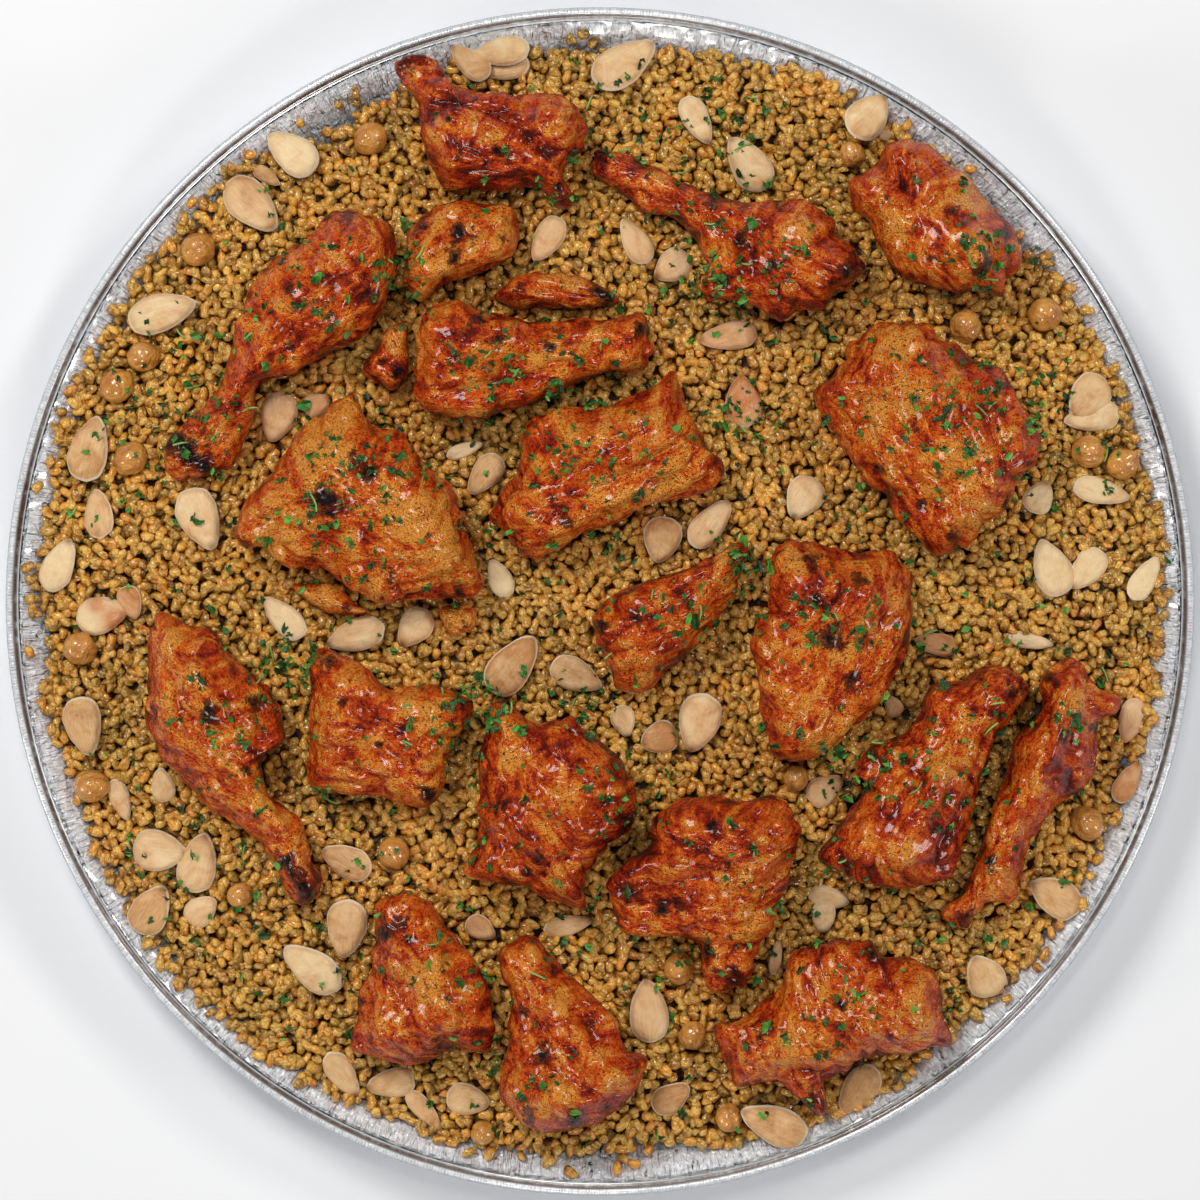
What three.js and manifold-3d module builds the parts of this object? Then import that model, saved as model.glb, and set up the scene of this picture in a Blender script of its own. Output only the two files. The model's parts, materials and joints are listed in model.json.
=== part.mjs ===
// A round foil catering tray heaped with freekeh, with roast chicken, almond halves and chickpeas on it.
// Millimetres, +Z up. The origin is under the middle of the tray, on the surface that the tray stands on.
import * as THREE from 'three';
import { ConvexHull } from 'three/addons/math/ConvexHull.js';
import * as BufferGeometryUtils from 'three/addons/utils/BufferGeometryUtils.js';
import Module from 'manifold-3d';

const wasm = await Module();
wasm.setup();

// Tray: a 16 inch round foil tray, 26 mm high, with a rolled bead round its rim.
const RIM_RADIUS = 203;
const RIM_HEIGHT = 26;
const FOIL = 0.8;
const BEAD_RADIUS = 1.5;
const FLOOR_RADIUS = 170;
const FLOOR_ROUNDING = 2;
const WALL_FOOT_HEIGHT = 2.2;
const WALL_TOP_RADIUS = 193.5;
const WALL_TOP_HEIGHT = 22;
const BAND_TOP_RADIUS = 198;
const BAND_TOP_HEIGHT = 24.9;
const TRAY_SIDES = 44;

// Freekeh bed: a low dome from just under the rim to its crown, with slow swells across it.
const BED_RADIUS = 190;
const BED_EDGE_HEIGHT = 22;
const BED_CROWN = 14;
const BED_FALL = 2.5;
const GRAIN_PITCH = 8;
const COVERED_PITCH = 16;
const HIDDEN_IN = 0.2;
const GRAIN_DEPTH = 2.6;
const EDGE_POINTS = 92;
const TRAY_CLEARANCE = 0.8;
const EDGE_THICKNESS = 1.2;
const SUNK_DEPTH = 2.5;

// Chopped parsley: the largest flakes, spread over the open bed.
const FLAKES = 34;
const FLAKE_LENGTH = 6;
const FLAKE_WIDTH = 4.4;
const FLAKE_THICKNESS = 0.6;
const FLAKE_FOLD = 1.3;
const FLAKE_SINK = 1.5;
const FLAKE_SPACING = 15;
const FLAKE_CLEARANCE = 4.5;

// What lies on the bed keeps this much air under it, and this much beside its neighbours.
const REST_GAP = 0.6;
const SIDE_GAP = 0.35;
const WIDEST_AT = 0.36;
const FOOT_SHRINK = 0.8;

const COLOURS = {
  foil: { color: 0xc9cacb, roughness: 0.3, metalness: 1 },
  freekeh: { color: 0xa5803a, roughness: 0.45, metalness: 0 },
  chicken: { color: 0xb4521c, roughness: 0.35, metalness: 0 },
  almond: { color: 0xe3bf90, roughness: 0.5, metalness: 0 },
};

// Chicken pieces. The outline goes round a piece in plan, the ridge is the line that its top runs along,
// and the rise is the height above the bed at the ridge's two ends. A lobe is a swelling or, with a negative
// height, a crease: x, y, reach and height.
const CHICKEN = [
  {
    name: 'chicken_leg_quarter_top', sides: 18, ridge: [[-44, 162], [-24, 158]], rise: [25, 24],
    outline: [[-68, 187], [-57, 186], [-50, 176], [-28, 173], [-13, 171], [-6, 165], [-5, 153],
      [-13, 147], [-8, 135], [-14, 133], [-21, 140], [-32, 139], [-44, 139], [-53, 139], [-58, 147],
      [-62, 157], [-63, 170], [-70, 180]],
    lobes: [[-14, 160, 8, 5], [-33, 159, 9, -4], [-60, 180, 8, -5], [-46, 152, 10, 3]],
  },
  {
    name: 'chicken_leg_quarter_flap', sides: 16, ridge: [[-57, 116], [-40, 123]], rise: [22, 22],
    outline: [[-53, 136], [-40, 136], [-30, 135], [-28, 130], [-27, 122], [-31, 115], [-42, 110.5],
      [-54, 105], [-61, 100.5], [-66.5, 106], [-67, 118], [-63.5, 129]],
    lobes: [[-47, 124, 8, -4], [-60, 112, 8, 3]],
  },
  {
    name: 'chicken_drumstick_left', sides: 17, ridge: [[-139, 50], [-88, 112]], rise: [13, 32],
    outline: [[-149, 54], [-148, 43], [-140, 41], [-125, 46], [-118, 60], [-114, 73], [-99, 79],
      [-80, 89], [-73, 98], [-68, 117], [-74, 130], [-88, 133], [-100, 124], [-116, 110], [-125, 92],
      [-131, 72], [-143, 61]],
    lobes: [[-80, 120, 12, 4], [-100, 88, 9, -3]],
  },
  {
    name: 'chicken_scrap_left', sides: 12, ridge: [[-71, 78], [-69, 90]], rise: [11, 11],
    outline: [[-76, 86], [-70, 94], [-65, 94], [-65, 84], [-65, 75], [-70, 71], [-76, 75], [-81, 79]],
    lobes: [],
  },
  {
    name: 'chicken_thigh_upper', sides: 17, ridge: [[-46, 83], [4, 87]], rise: [27, 17],
    outline: [[-61, 97], [-50, 103], [-43, 101], [-35, 98], [-25, 96], [-1, 96], [15, 98], [18, 90],
      [17, 80], [7, 77], [-7, 74.6], [-22, 66], [-37, 61], [-47, 60], [-56, 62], [-62, 66], [-63, 82]],
    lobes: [[-50, 90, 12, 4], [-28, 76, 9, -3], [8, 88, 8, 2]],
  },
  {
    name: 'chicken_dark_meat_upper', sides: 12, ridge: [[-28, 106], [-2, 104]], rise: [11, 10],
    outline: [[-36, 104], [-27, 110], [-20, 112], [-9, 112], [0, 109], [7, 104], [6, 100], [-8, 99],
      [-25, 99.5], [-34, 101.5]],
    lobes: [[-14, 107, 5, 3]],
  },
  {
    name: 'chicken_ridged_thigh', sides: 17, ridge: [[-16, 32], [20, 58]], rise: [24, 26],
    outline: [[25, 78], [28.5, 70], [33.5, 59], [37, 51], [42, 47], [40.5, 41], [32, 36], [17, 31],
      [8, 26.5], [-3, 23], [-18, 14], [-25, 14], [-30, 18], [-33, 23], [-37, 29], [-33, 37], [-28, 47],
      [-26, 57], [-20.7, 61.7], [-11.5, 65], [2.7, 66], [14, 71], [21, 75]],
    lobes: [[8, 60, 9, 3], [-6, 45, 6, -2], [4, 36, 7, 2]],
  },
  {
    name: 'chicken_leg_top', sides: 18, ridge: [[14, 142], [66, 117]], rise: [15, 27],
    outline: [[-3, 154], [7, 153], [18, 148], [31, 142], [44, 138], [60, 136], [73, 135], [79, 130],
      [82, 124], [88, 119], [90, 113], [87, 107], [82, 104], [77, 98], [67, 97], [60, 93], [53.6, 99],
      [45, 101], [37, 101], [34, 105], [36, 111.5], [35, 116], [31, 122.7], [25, 129], [15, 132],
      [5, 140], [-3, 146]],
    lobes: [[49, 121, 7, -5], [46, 108, 8, 3], [85, 113, 6, 4], [66, 122, 10, 3]],
  },
  {
    name: 'chicken_thigh_top_right', sides: 17, ridge: [[102, 138], [121, 120]], rise: [26, 27],
    outline: [[98, 156], [105, 158], [112, 155], [126, 145], [132.5, 137], [139.7, 129], [144, 116],
      [139, 108], [137, 104.5], [123, 104], [105, 107.5], [98, 114], [93, 122], [90, 129], [85, 134],
      [85, 142], [89, 145.5], [95, 149], [96, 153]],
    lobes: [[98, 144, 6, -4], [104, 152, 7, 3], [128, 122, 9, 3]],
  },
  {
    name: 'chicken_thigh_right', sides: 18, ridge: [[100, 72], [124, 42]], rise: [34, 30],
    outline: [[71, 71], [79, 77.6], [85, 86.5], [95, 94], [109, 95.5], [117, 90], [126, 83], [135, 79],
      [144, 67], [149, 54], [148.5, 47.8], [142, 41], [139, 33], [132, 27.5], [126, 20], [117, 15.5],
      [112, 15], [105, 22], [97, 32], [88, 42], [82, 50], [75, 63]],
    lobes: [[98, 86, 12, 4], [134, 62, 7, -4], [106, 57, 6, -2], [140, 56, 8, 2]],
  },
  {
    name: 'chicken_drumette', sides: 16, ridge: [[12, -14], [38, 9]], rise: [25, 15],
    outline: [[-4, -6], [-2, -2], [6, 4], [16, 8.5], [26.4, 11.5], [37, 15.5], [46, 20.5], [52, 18.5],
      [49.5, 10], [44.5, 0.7], [38.6, -7], [29, -19], [24, -24], [16.6, -31], [11.5, -32], [6, -30],
      [2.4, -24], [-0.7, -16]],
    lobes: [[14, -4, 9, 3]],
  },
  {
    name: 'chicken_thigh_middle', sides: 17, ridge: [[78, -2], [76, -34]], rise: [30, 27],
    outline: [[58, 18], [63, 21], [73, 21], [82, 18.5], [87, 17], [93, 18.5], [99, 17.5], [104, 13.6],
      [106.5, 7.8], [105.5, -4], [103, -17.6], [98, -27.5], [93.5, -36], [86, -43], [80, -48.5],
      [70.5, -53], [61, -54], [56.5, -48.5], [54, -37], [52, -22], [51, -6], [55, -3], [56, 7.8]],
    lobes: [[92, 4, 10, 3], [66, 6, 10, 3], [80, -14, 9, -3], [70, -44, 9, -3]],
  },
  {
    name: 'chicken_thigh_lower_right', sides: 18, ridge: [[129, -38], [99, -82]], rise: [25, 25],
    outline: [[111, -28], [123, -26], [132, -22], [142, -23], [145, -31], [138, -42], [133.5, -53],
      [127, -70], [121, -87], [115.5, -95], [107, -97], [97, -97.5], [86, -94], [76, -90], [73, -86],
      [78, -77], [86, -67], [88, -60], [85, -56], [91, -48], [101, -44], [107, -38]],
    lobes: [[112, -62, 9, 4], [98, -55, 7, -4], [128, -32, 9, 3], [88, -84, 8, 2]],
  },
  {
    name: 'chicken_drumstick_right', sides: 17, ridge: [[158, -34], [126, -102]], rise: [27, 12],
    outline: [[151, -24], [157.6, -17.5], [164, -20], [170, -28.5], [176, -32.5], [175.6, -37],
      [170, -42.7], [169, -52.5], [165.4, -62.7], [156, -69], [148.5, -77.6], [145.4, -88.5],
      [144.8, -95.6], [140.7, -102], [131, -103], [125, -112], [119, -111], [114, -108], [117, -103],
      [121, -99.5], [125.5, -92], [129, -81], [132.5, -70.5], [137.6, -56], [141, -45], [148, -38],
      [149, -31]],
    lobes: [[152, -48, 10, 4], [140, -86, 8, 3], [166, -34, 7, -2]],
  },
  {
    name: 'chicken_leg_left', sides: 18, ridge: [[-138, -28], [-105, -88]], rise: [31, 15],
    outline: [[-150.5, -5], [-144.8, -5], [-137, -8], [-130.5, -9], [-122.7, -18], [-113, -26],
      [-109, -31], [-106, -39], [-106.5, -47], [-112, -51], [-114, -56], [-112, -64], [-106.4, -69.5],
      [-101, -74], [-99, -80], [-98.6, -87.5], [-94, -94.6], [-95, -99], [-100, -104], [-105.8, -101.7],
      [-109, -94.6], [-111.5, -88], [-117, -82], [-125.8, -75.6], [-135.6, -68.5], [-144.8, -59],
      [-150.5, -52.5], [-154, -42.7], [-155, -36], [-154, -26.8], [-153, -16]],
    lobes: [[-134, -40, 13, 3], [-113, -42, 7, -4], [-99, -96, 6, 4]],
  },
  {
    name: 'chicken_thigh_left', sides: 18, ridge: [[-82, -43], [-62, -46]], rise: [26, 24],
    outline: [[-96, -17], [-91, -16], [-85, -19], [-77.6, -23.4], [-71, -28], [-62.7, -27], [-55, -27],
      [-47, -29.5], [-42.5, -34], [-42.5, -38], [-47, -46], [-51.5, -55], [-54, -64.4], [-57, -70],
      [-61, -70.5], [-66, -69], [-75, -65.8], [-85, -65.4], [-95, -62.7], [-98.6, -58], [-98, -49.5],
      [-97.6, -34.6], [-98.6, -27.5]],
    lobes: [[-78, -49, 6, -2], [-90, -28, 8, -3], [-52, -50, 6, -4], [-80, -38, 9, 3]],
  },
  {
    name: 'chicken_thigh_centre', sides: 18, ridge: [[-20, -58], [-16, -86]], rise: [28, 27],
    outline: [[-38, -34.5], [-34, -33], [-29, -34.5], [-23.7, -39], [-14, -39], [-9, -37.5],
      [-5, -42.5], [2.5, -48.5], [9, -54.5], [12, -62], [12.2, -70], [11.5, -76], [4, -82], [-1.5, -90],
      [-4, -98], [-5, -104], [-9, -104.5], [-17, -101.5], [-26.4, -97.5], [-35, -95.5], [-42, -94],
      [-46.5, -91], [-42.5, -80.7], [-41, -70], [-42, -59], [-42, -51], [-39, -43]],
    lobes: [[-6, -66, 10, 3], [-28, -54, 8, -3], [-28, -76, 8, 3], [-30, -90, 8, -3]],
  },
  {
    name: 'chicken_crisp_thigh', sides: 18, ridge: [[36, -84], [41, -112]], rise: [31, 22],
    outline: [[17, -73], [21, -69], [29, -65], [37, -64], [45, -65.5], [50.5, -66.5], [56.6, -65],
      [61.4, -67], [68, -76], [67, -82], [65, -87.5], [64.5, -94.6], [61, -102], [59, -109.5],
      [55.5, -115], [52.5, -120], [52, -126], [49.5, -131.5], [43, -133], [36, -132], [34, -125],
      [31, -116], [24.7, -113.5], [17.3, -113.5], [10, -112.5], [4, -108], [1.5, -100], [3, -94],
      [9, -87], [15, -83.5], [16.5, -78]],
    lobes: [[26, -82, 7, 3], [17, -100, 9, -7], [52, -84, 10, 4], [44, -124, 8, -4], [36, -92, 6, -3]],
  },
  {
    name: 'chicken_thigh_bottom_left', sides: 18, ridge: [[-62, -118], [-58, -140]], rise: [23, 24],
    outline: [[-74, -101], [-69, -98.5], [-63.4, -97.5], [-57.6, -100.5], [-53, -106], [-48.5, -111.5],
      [-45, -118], [-40.5, -124.5], [-37, -131.5], [-36, -138.7], [-36, -148], [-37.5, -152.5],
      [-41, -153], [-50, -152.3], [-54, -155], [-58.6, -158], [-66.8, -157.5], [-75, -155.5],
      [-83, -153.5], [-85, -150], [-83, -138.7], [-81, -131.5], [-78, -124], [-77, -114], [-76, -106]],
    lobes: [[-68, -132, 7, -3], [-52, -134, 9, 3], [-72, -145, 8, 3]],
  },
  {
    name: 'chicken_thigh_bottom', sides: 18, ridge: [[-23, -130], [-10, -164]], rise: [19, 30],
    outline: [[-31, -116], [-27, -113], [-22, -113.5], [-18, -118], [-11.5, -123.5], [-5.4, -130],
      [0.3, -135.5], [6, -140], [7.8, -146], [9.5, -151.5], [15, -154.5], [15.6, -159.7], [13, -164.8],
      [9, -171], [5.4, -174.5], [-2.7, -179], [-12.5, -181], [-20, -181], [-27, -178], [-32.5, -173],
      [-35.5, -167.5], [-34, -159], [-31.5, -150], [-31.5, -142], [-31, -134], [-34, -125],
      [-33.5, -120]],
    lobes: [[-17, -151, 8, -4], [-3, -146, 6, -3], [-14, -172, 10, 3], [-22, -134, 8, 3]],
  },
  {
    name: 'chicken_breast_bottom_right', sides: 18, ridge: [[66, -144], [98, -134]], rise: [24, 27],
    outline: [[37, -146], [39, -143], [45, -143], [51, -139.5], [56, -134.5], [60.5, -131.5],
      [65, -119], [72, -117], [81, -114], [91, -114], [95, -119], [101, -119.5], [111, -122.5],
      [116, -128], [117.6, -137.6], [119, -149], [115, -151], [106, -153.6], [97, -155], [88, -157],
      [82, -160], [76.5, -163.5], [77, -172], [73, -174.5], [66, -169], [61, -165], [49, -164.5],
      [43, -161], [40, -154.6]],
    lobes: [[92, -122, 7, -4], [74, -150, 10, 3], [104, -136, 9, 3], [70, -166, 7, -4]],
  },
  {
    name: 'chicken_breast_left', sides: 18, ridge: [[-96, 36], [-66, 30]], rise: [29, 34],
    outline: [[-85, 71], [-81.5, 69], [-76, 60], [-67, 58.5], [-63, 53.5], [-57.5, 46], [-49, 38],
      [-46.5, 30.5], [-44.5, 22], [-41.5, 13], [-38.5, 6], [-40, 3], [-46, 1.5], [-56.6, 1.5],
      [-70, -1.5], [-74, -1], [-84, 4], [-92, 8.8], [-100.7, 9.8], [-107, 11], [-114, 17.5],
      [-120.5, 17.5], [-123, 22], [-120.7, 32], [-115, 40.7], [-108, 50], [-101, 59], [-93.6, 65]],
    lobes: [[-70, 10, 8, -3], [-112, 24, 9, -4], [-78, 48, 12, 3], [-58, 14, 10, 3]],
  },
  {
    name: 'chicken_scrap_under_breast', sides: 12, ridge: [[-98, 3], [-84, -3]], rise: [9, 8],
    outline: [[-105, 6], [-97, 6.5], [-91, 5.5], [-84, 0.5], [-78, -3], [-84, -5], [-93, -4.5],
      [-101, 0]],
    lobes: [],
  },
  {
    name: 'chicken_scrap_below_breast', sides: 12, ridge: [[-51, -4], [-47, -6]], rise: [9, 8],
    outline: [[-53, -1], [-46, -0.5], [-42, -2], [-42, -7], [-46.5, -12], [-51, -11.5], [-54.5, -6]],
    lobes: [],
  },
];

// Almond halves that lie clear of each other, in mm and degrees: x, y, heading of the tip, length, width.
const ALMONDS = [
  [8.5, 183.5, 35, 25, 14], [33, 164, -64, 18.5, 9.2], [50.5, 149, 125, 21.5, 13],
  [91.5, 165.5, 50, 18, 13.5], [-118.5, 135, -46, 24, 14], [-105, 153, 142, 20.7, 12.6],
  [-149, 98.5, 15, 24.5, 13], [-174, 52, 75, 23, 13.4], [-184.5, 12.5, 65, 19.5, 11],
  [-136, 28, -66, 22.5, 13.8], [-107.5, -5.5, 135, 19, 9.5], [-83, -11.5, 198, 20.5, 11],
  [-63, -9, 235, 15, 11], [-109.5, 62.5, 255, 17.5, 12], [-176, -42.5, -78, 20.8, 13],
  [-153, -105, 58, 18.6, 13], [-98, -124.5, 143, 23.8, 13], [-86, -111, -97, 20.5, 13.5],
  [-86, -88, 155, 18.6, 10.8], [16.5, -139, 96, 22, 13], [59, -178, 155, 24.5, 13.2],
  [88, -166.5, 235, 20, 11.5], [131, -127.5, 120, 15.6, 13], [155, -100.5, 150, 20.2, 12.5],
  [186, 8, 57, 17.3, 8.4], [171, 37.5, -12, 20.3, 8.8], [43.5, 90, 188, 20, 9.5],
  [12, 122.5, 119, 17.5, 9], [-18, 123, 239, 17.5, 9.5], [-39, 43, 232, 16.5, 9.5],
  [37.5, 26.5, 50, 20, 10.5], [-29.5, -21.5, 52, 24, 13.8], [33.5, -41, -105, 20.3, 14],
  [21, 21, 260, 16, 12.5],
];

// Almond halves and broken pieces that are sunk in the bed or lie in pairs, with the same five values.
const SUNK_ALMONDS = [
  [-44.5, 184, 139, 17, 9], [-34, 187.5, 188, 20, 10], [-33, 182.5, 188, 18, 9], [-171, 30, 95, 17, 10],
  [-169.5, -4.4, 15, 19, 12.5], [-163.7, -67.8, -70, 15, 7], [-150, -85, -5, 19, 14],
  [-137, -89, 75, 21, 13], [-136, -105.5, 40, 13, 10], [-88, -161.5, -57, 18, 9.5],
  [-71.5, -164.5, 190, 17, 10], [-60, -174, -50, 18, 6.5], [-45, -170, -10, 15, 11],
  [-11, -110.2, 12, 17, 7], [24.4, -169.2, 35, 15, 10], [78, -101, -12, 14, 8],
  [181.7, -40.7, 250, 16, 9.5], [180, -61.7, 60, 16, 8], [154, 11.5, 112, 20.5, 13],
  [166, 11, 230, 17, 10.5], [149.8, 35.6, 60, 12, 10], [166.5, 69.5, 230, 18, 13.5],
  [168, 63, 190, 20, 10], [114.2, -14.5, 170, 15, 7.5], [147, -13.5, -10, 16, 5.5],
  [76.6, -63.8, 35, 14, 10], [69, 35, 240, 16, 12.5], [48.5, 68, 95, 18, 12], [24.5, 114, 215, 14, 11],
  [-34, 8, 115, 14, 8], [-8, -25, -25, 19, 10.8], [20, -46.4, 200, 13, 11],
];

// Chickpeas, half sunk in the bed: x, y and radius.
const CHICKPEAS = [
  [-137.4, 120.2, 6.1], [-156, 83.5, 5.6], [-165, 73.6, 6.1], [-160, 48.8, 6.1], [-177.6, -16, 6],
  [-173.9, -63, 6.1], [-78.3, 158, 6], [-70, -85.3, 5.6], [-122.7, -100.3, 4.6], [27, -125, 5.6],
  [44, -176.5, 5], [-40, -181.5, 4.6], [166.8, 51.2, 6], [178.2, 47, 5.8], [151.9, 98, 6.2],
  [124.5, 94, 5.8], [86, 152.5, 4.6], [166.5, -75.8, 6], [66.5, -60.2, 4.6], [31.5, -148, 5],
];

// A repeatable draw from 0 to 1.
function seededDraw(seed) {
  let state = seed;
  return () => {
    state = (state * 1664525 + 1013904223) % 4294967296;
    return state / 4294967296;
  };
}

const smooth = (low, high, value) => THREE.MathUtils.smoothstep(value, low, high);

// Height of the tray's upper face at a radius, from the foot of its wall to the bead. The tray is a ring
// of flat sides, which lie nearer its middle than their corners do, so the radius is read at the corners.
function trayHeight(flatRadius) {
  const radius = flatRadius / Math.cos(Math.PI / TRAY_SIDES);
  if (radius > RIM_RADIUS) return 0;
  if (radius > RIM_RADIUS - 2 * BEAD_RADIUS) return RIM_HEIGHT;
  if (radius > BAND_TOP_RADIUS) return BAND_TOP_HEIGHT + 0.4;
  if (radius > WALL_TOP_RADIUS) {
    const along = (radius - WALL_TOP_RADIUS) / (BAND_TOP_RADIUS - WALL_TOP_RADIUS);
    return THREE.MathUtils.lerp(WALL_TOP_HEIGHT, BAND_TOP_HEIGHT, along);
  }
  const foot = FLOOR_RADIUS + FLOOR_ROUNDING;
  const slope = (WALL_TOP_HEIGHT - WALL_FOOT_HEIGHT) / (WALL_TOP_RADIUS - foot);
  return Math.max(FOIL, WALL_FOOT_HEIGHT + (radius - foot) * slope);
}

// Height of the bare bed: a dome that falls faster towards its edge, with two crossing swells.
function bedHeight(x, y) {
  const radius = Math.hypot(x, y);
  const dome = BED_CROWN * (1 - (radius / BED_RADIUS) ** BED_FALL);
  const swell = 1.4 * Math.sin(x / 38 + 0.7) * Math.cos(y / 45 - 0.4) + 0.9 * Math.sin((x + y) / 31);
  return BED_EDGE_HEIGHT + dome + swell * (1 - smooth(120, BED_RADIUS, radius));
}

const restHeight = (x, y) => Math.max(bedHeight(x, y), trayHeight(Math.hypot(x, y)));

// Radius of the bed's ragged edge: slow waves, and two bays where the bare foil shows.
function edgeRadius(angle) {
  const waves = 1.4 * Math.sin(5 * angle + 1) + 1.0 * Math.sin(11 * angle + 2) + 0.8 * Math.sin(23 * angle);
  const turn = (middle) => Math.atan2(Math.sin(angle - middle), Math.cos(angle - middle));
  const bay = (middle, reach) => Math.exp(-((turn(middle) / reach) ** 2));
  return 188.2 + waves - 3.5 * bay(-1.5, 0.25) - 4 * bay(2.05, 0.12);
}

function indexedGeometry(positions, faces) {
  const geometry = new THREE.BufferGeometry();
  geometry.setAttribute('position', new THREE.Float32BufferAttribute(positions, 3));
  geometry.setIndex(faces);
  return geometry;
}

// A closed body from rings between a top and a bottom point, each ring anticlockwise from above.
function ringedBody(top, rings, bottom) {
  const sides = rings[0].length;
  const positions = [top, ...rings.flat(), bottom].flatMap((point) => point.toArray());
  const at = (ring, side) => 1 + ring * sides + (side % sides);
  const last = 1 + rings.length * sides;
  const faces = [];
  for (let side = 0; side < sides; side += 1) {
    faces.push(0, at(0, side), at(0, side + 1));
    for (let ring = 0; ring < rings.length - 1; ring += 1) {
      faces.push(at(ring, side), at(ring + 1, side), at(ring + 1, side + 1));
      faces.push(at(ring, side), at(ring + 1, side + 1), at(ring, side + 1));
    }
    faces.push(last, at(rings.length - 1, side + 1), at(rings.length - 1, side));
  }
  return indexedGeometry(positions, faces);
}

function solidOf(geometry) {
  const bare = new THREE.BufferGeometry();
  bare.setAttribute('position', geometry.getAttribute('position').clone());
  if (geometry.index) bare.setIndex(geometry.index.clone());
  const merged = BufferGeometryUtils.mergeVertices(bare, 1e-4);
  const vertProperties = new Float32Array(merged.getAttribute('position').array);
  const triVerts = new Uint32Array(merged.index.array);
  return new wasm.Manifold(new wasm.Mesh({ numProp: 3, vertProperties, triVerts }));
}

function geometryOf(solid) {
  const mesh = solid.getMesh();
  return indexedGeometry([...mesh.vertProperties], [...mesh.triVerts]);
}

// The tray: one profile turned round the axis, underside out to the bead and the upper face back in.
function trayGeometry() {
  const beadMiddle = new THREE.Vector2(RIM_RADIUS - BEAD_RADIUS, RIM_HEIGHT - BEAD_RADIUS);
  const bead = [-90, -30, 30, 90, 150].map((degrees) => {
    const angle = THREE.MathUtils.degToRad(degrees);
    return new THREE.Vector2(Math.cos(angle), Math.sin(angle)).multiplyScalar(BEAD_RADIUS).add(beadMiddle);
  });
  const groove = [RIM_RADIUS - 3.3, RIM_HEIGHT - 1.7];
  const ridge = [BAND_TOP_RADIUS + 0.6, BAND_TOP_HEIGHT + 0.3];
  const under = [
    [0, 0], [FLOOR_RADIUS + 0.8, 0], [FLOOR_RADIUS + FLOOR_ROUNDING + 0.55, WALL_FOOT_HEIGHT - 0.6],
    [WALL_TOP_RADIUS + 0.5, WALL_TOP_HEIGHT - 0.65], [BAND_TOP_RADIUS + 0.5, BAND_TOP_HEIGHT - 0.7],
    [groove[0], groove[1] - FOIL],
  ];
  const upper = [
    groove, ridge, [BAND_TOP_RADIUS, BAND_TOP_HEIGHT], [WALL_TOP_RADIUS, WALL_TOP_HEIGHT],
    [FLOOR_RADIUS + FLOOR_ROUNDING, WALL_FOOT_HEIGHT], [FLOOR_RADIUS, FOIL], [0, FOIL],
  ];
  const toVector = ([radius, height]) => new THREE.Vector2(radius, height);
  const profile = [...under.map(toVector), ...bead, ...upper.map(toVector)];
  return new THREE.LatheGeometry(profile, TRAY_SIDES).rotateX(Math.PI / 2);
}

// Points round a piece's smooth plan outline, drawn in a little towards the ridge, each with its foot there.
function outlineColumns(piece) {
  const corners = piece.outline.map(([x, y]) => new THREE.Vector3(x, y, 0));
  const curve = new THREE.CatmullRomCurve3(corners, true, 'catmullrom');
  const [start, end] = piece.ridge.map(([x, y]) => new THREE.Vector3(x, y, 0));
  const ridge = new THREE.Line3(start, end);
  const columns = [];
  for (let side = 0; side < piece.sides; side += 1) {
    const edge = curve.getPointAt(side / piece.sides);
    const along = ridge.closestPointToPointParameter(edge, true);
    const foot = ridge.at(along, new THREE.Vector3());
    const reach = edge.clone().sub(foot);
    edge.addScaledVector(reach.normalize(), -SIDE_GAP);
    columns.push({ edge, foot, along });
  }
  const area = THREE.ShapeUtils.area(columns.map((column) => column.edge));
  return area > 0 ? columns : columns.reverse();
}

// A chicken piece: a pillow whose crest is its ridge. Above its widest line it is a quarter ellipse from the
// ridge to the outline, and below that it draws in to a foot that follows the bed.
function chickenGeometry(piece) {
  const columns = outlineColumns(piece);
  const [startRise, endRise] = piece.rise;
  const swell = (x, y) => piece.lobes.reduce((sum, [lobeX, lobeY, reach, height]) => {
    const away = Math.hypot(x - lobeX, y - lobeY) / reach;
    return sum + height * Math.exp(-(away ** 2) / 2);
  }, 0);
  const ringAt = (share, heightShare, lobed) => columns.map(({ edge, foot, along }) => {
    const point = foot.clone().lerp(edge, share);
    const rise = THREE.MathUtils.lerp(startRise, endRise, along);
    point.z = restHeight(point.x, point.y) + REST_GAP + rise * heightShare + swell(point.x, point.y) * lobed;
    return point;
  });
  const crestRings = [0.42, 0.82, 1.2].map((angle) => {
    const lift = Math.cos(angle);
    return ringAt(Math.sin(angle), WIDEST_AT + (1 - WIDEST_AT) * lift, lift);
  });
  const rings = [...crestRings, ringAt(1, WIDEST_AT, 0), ringAt(FOOT_SHRINK, 0, 0), ringAt(0.4, 0, 0)];
  const middle = new THREE.Vector3(
    (piece.ridge[0][0] + piece.ridge[1][0]) / 2,
    (piece.ridge[0][1] + piece.ridge[1][1]) / 2,
    0,
  );
  const floor = restHeight(middle.x, middle.y) + REST_GAP;
  const top = middle.clone().setZ(floor + (startRise + endRise) / 2 + swell(middle.x, middle.y));
  return ringedBody(top, rings, middle.clone().setZ(floor));
}

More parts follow.
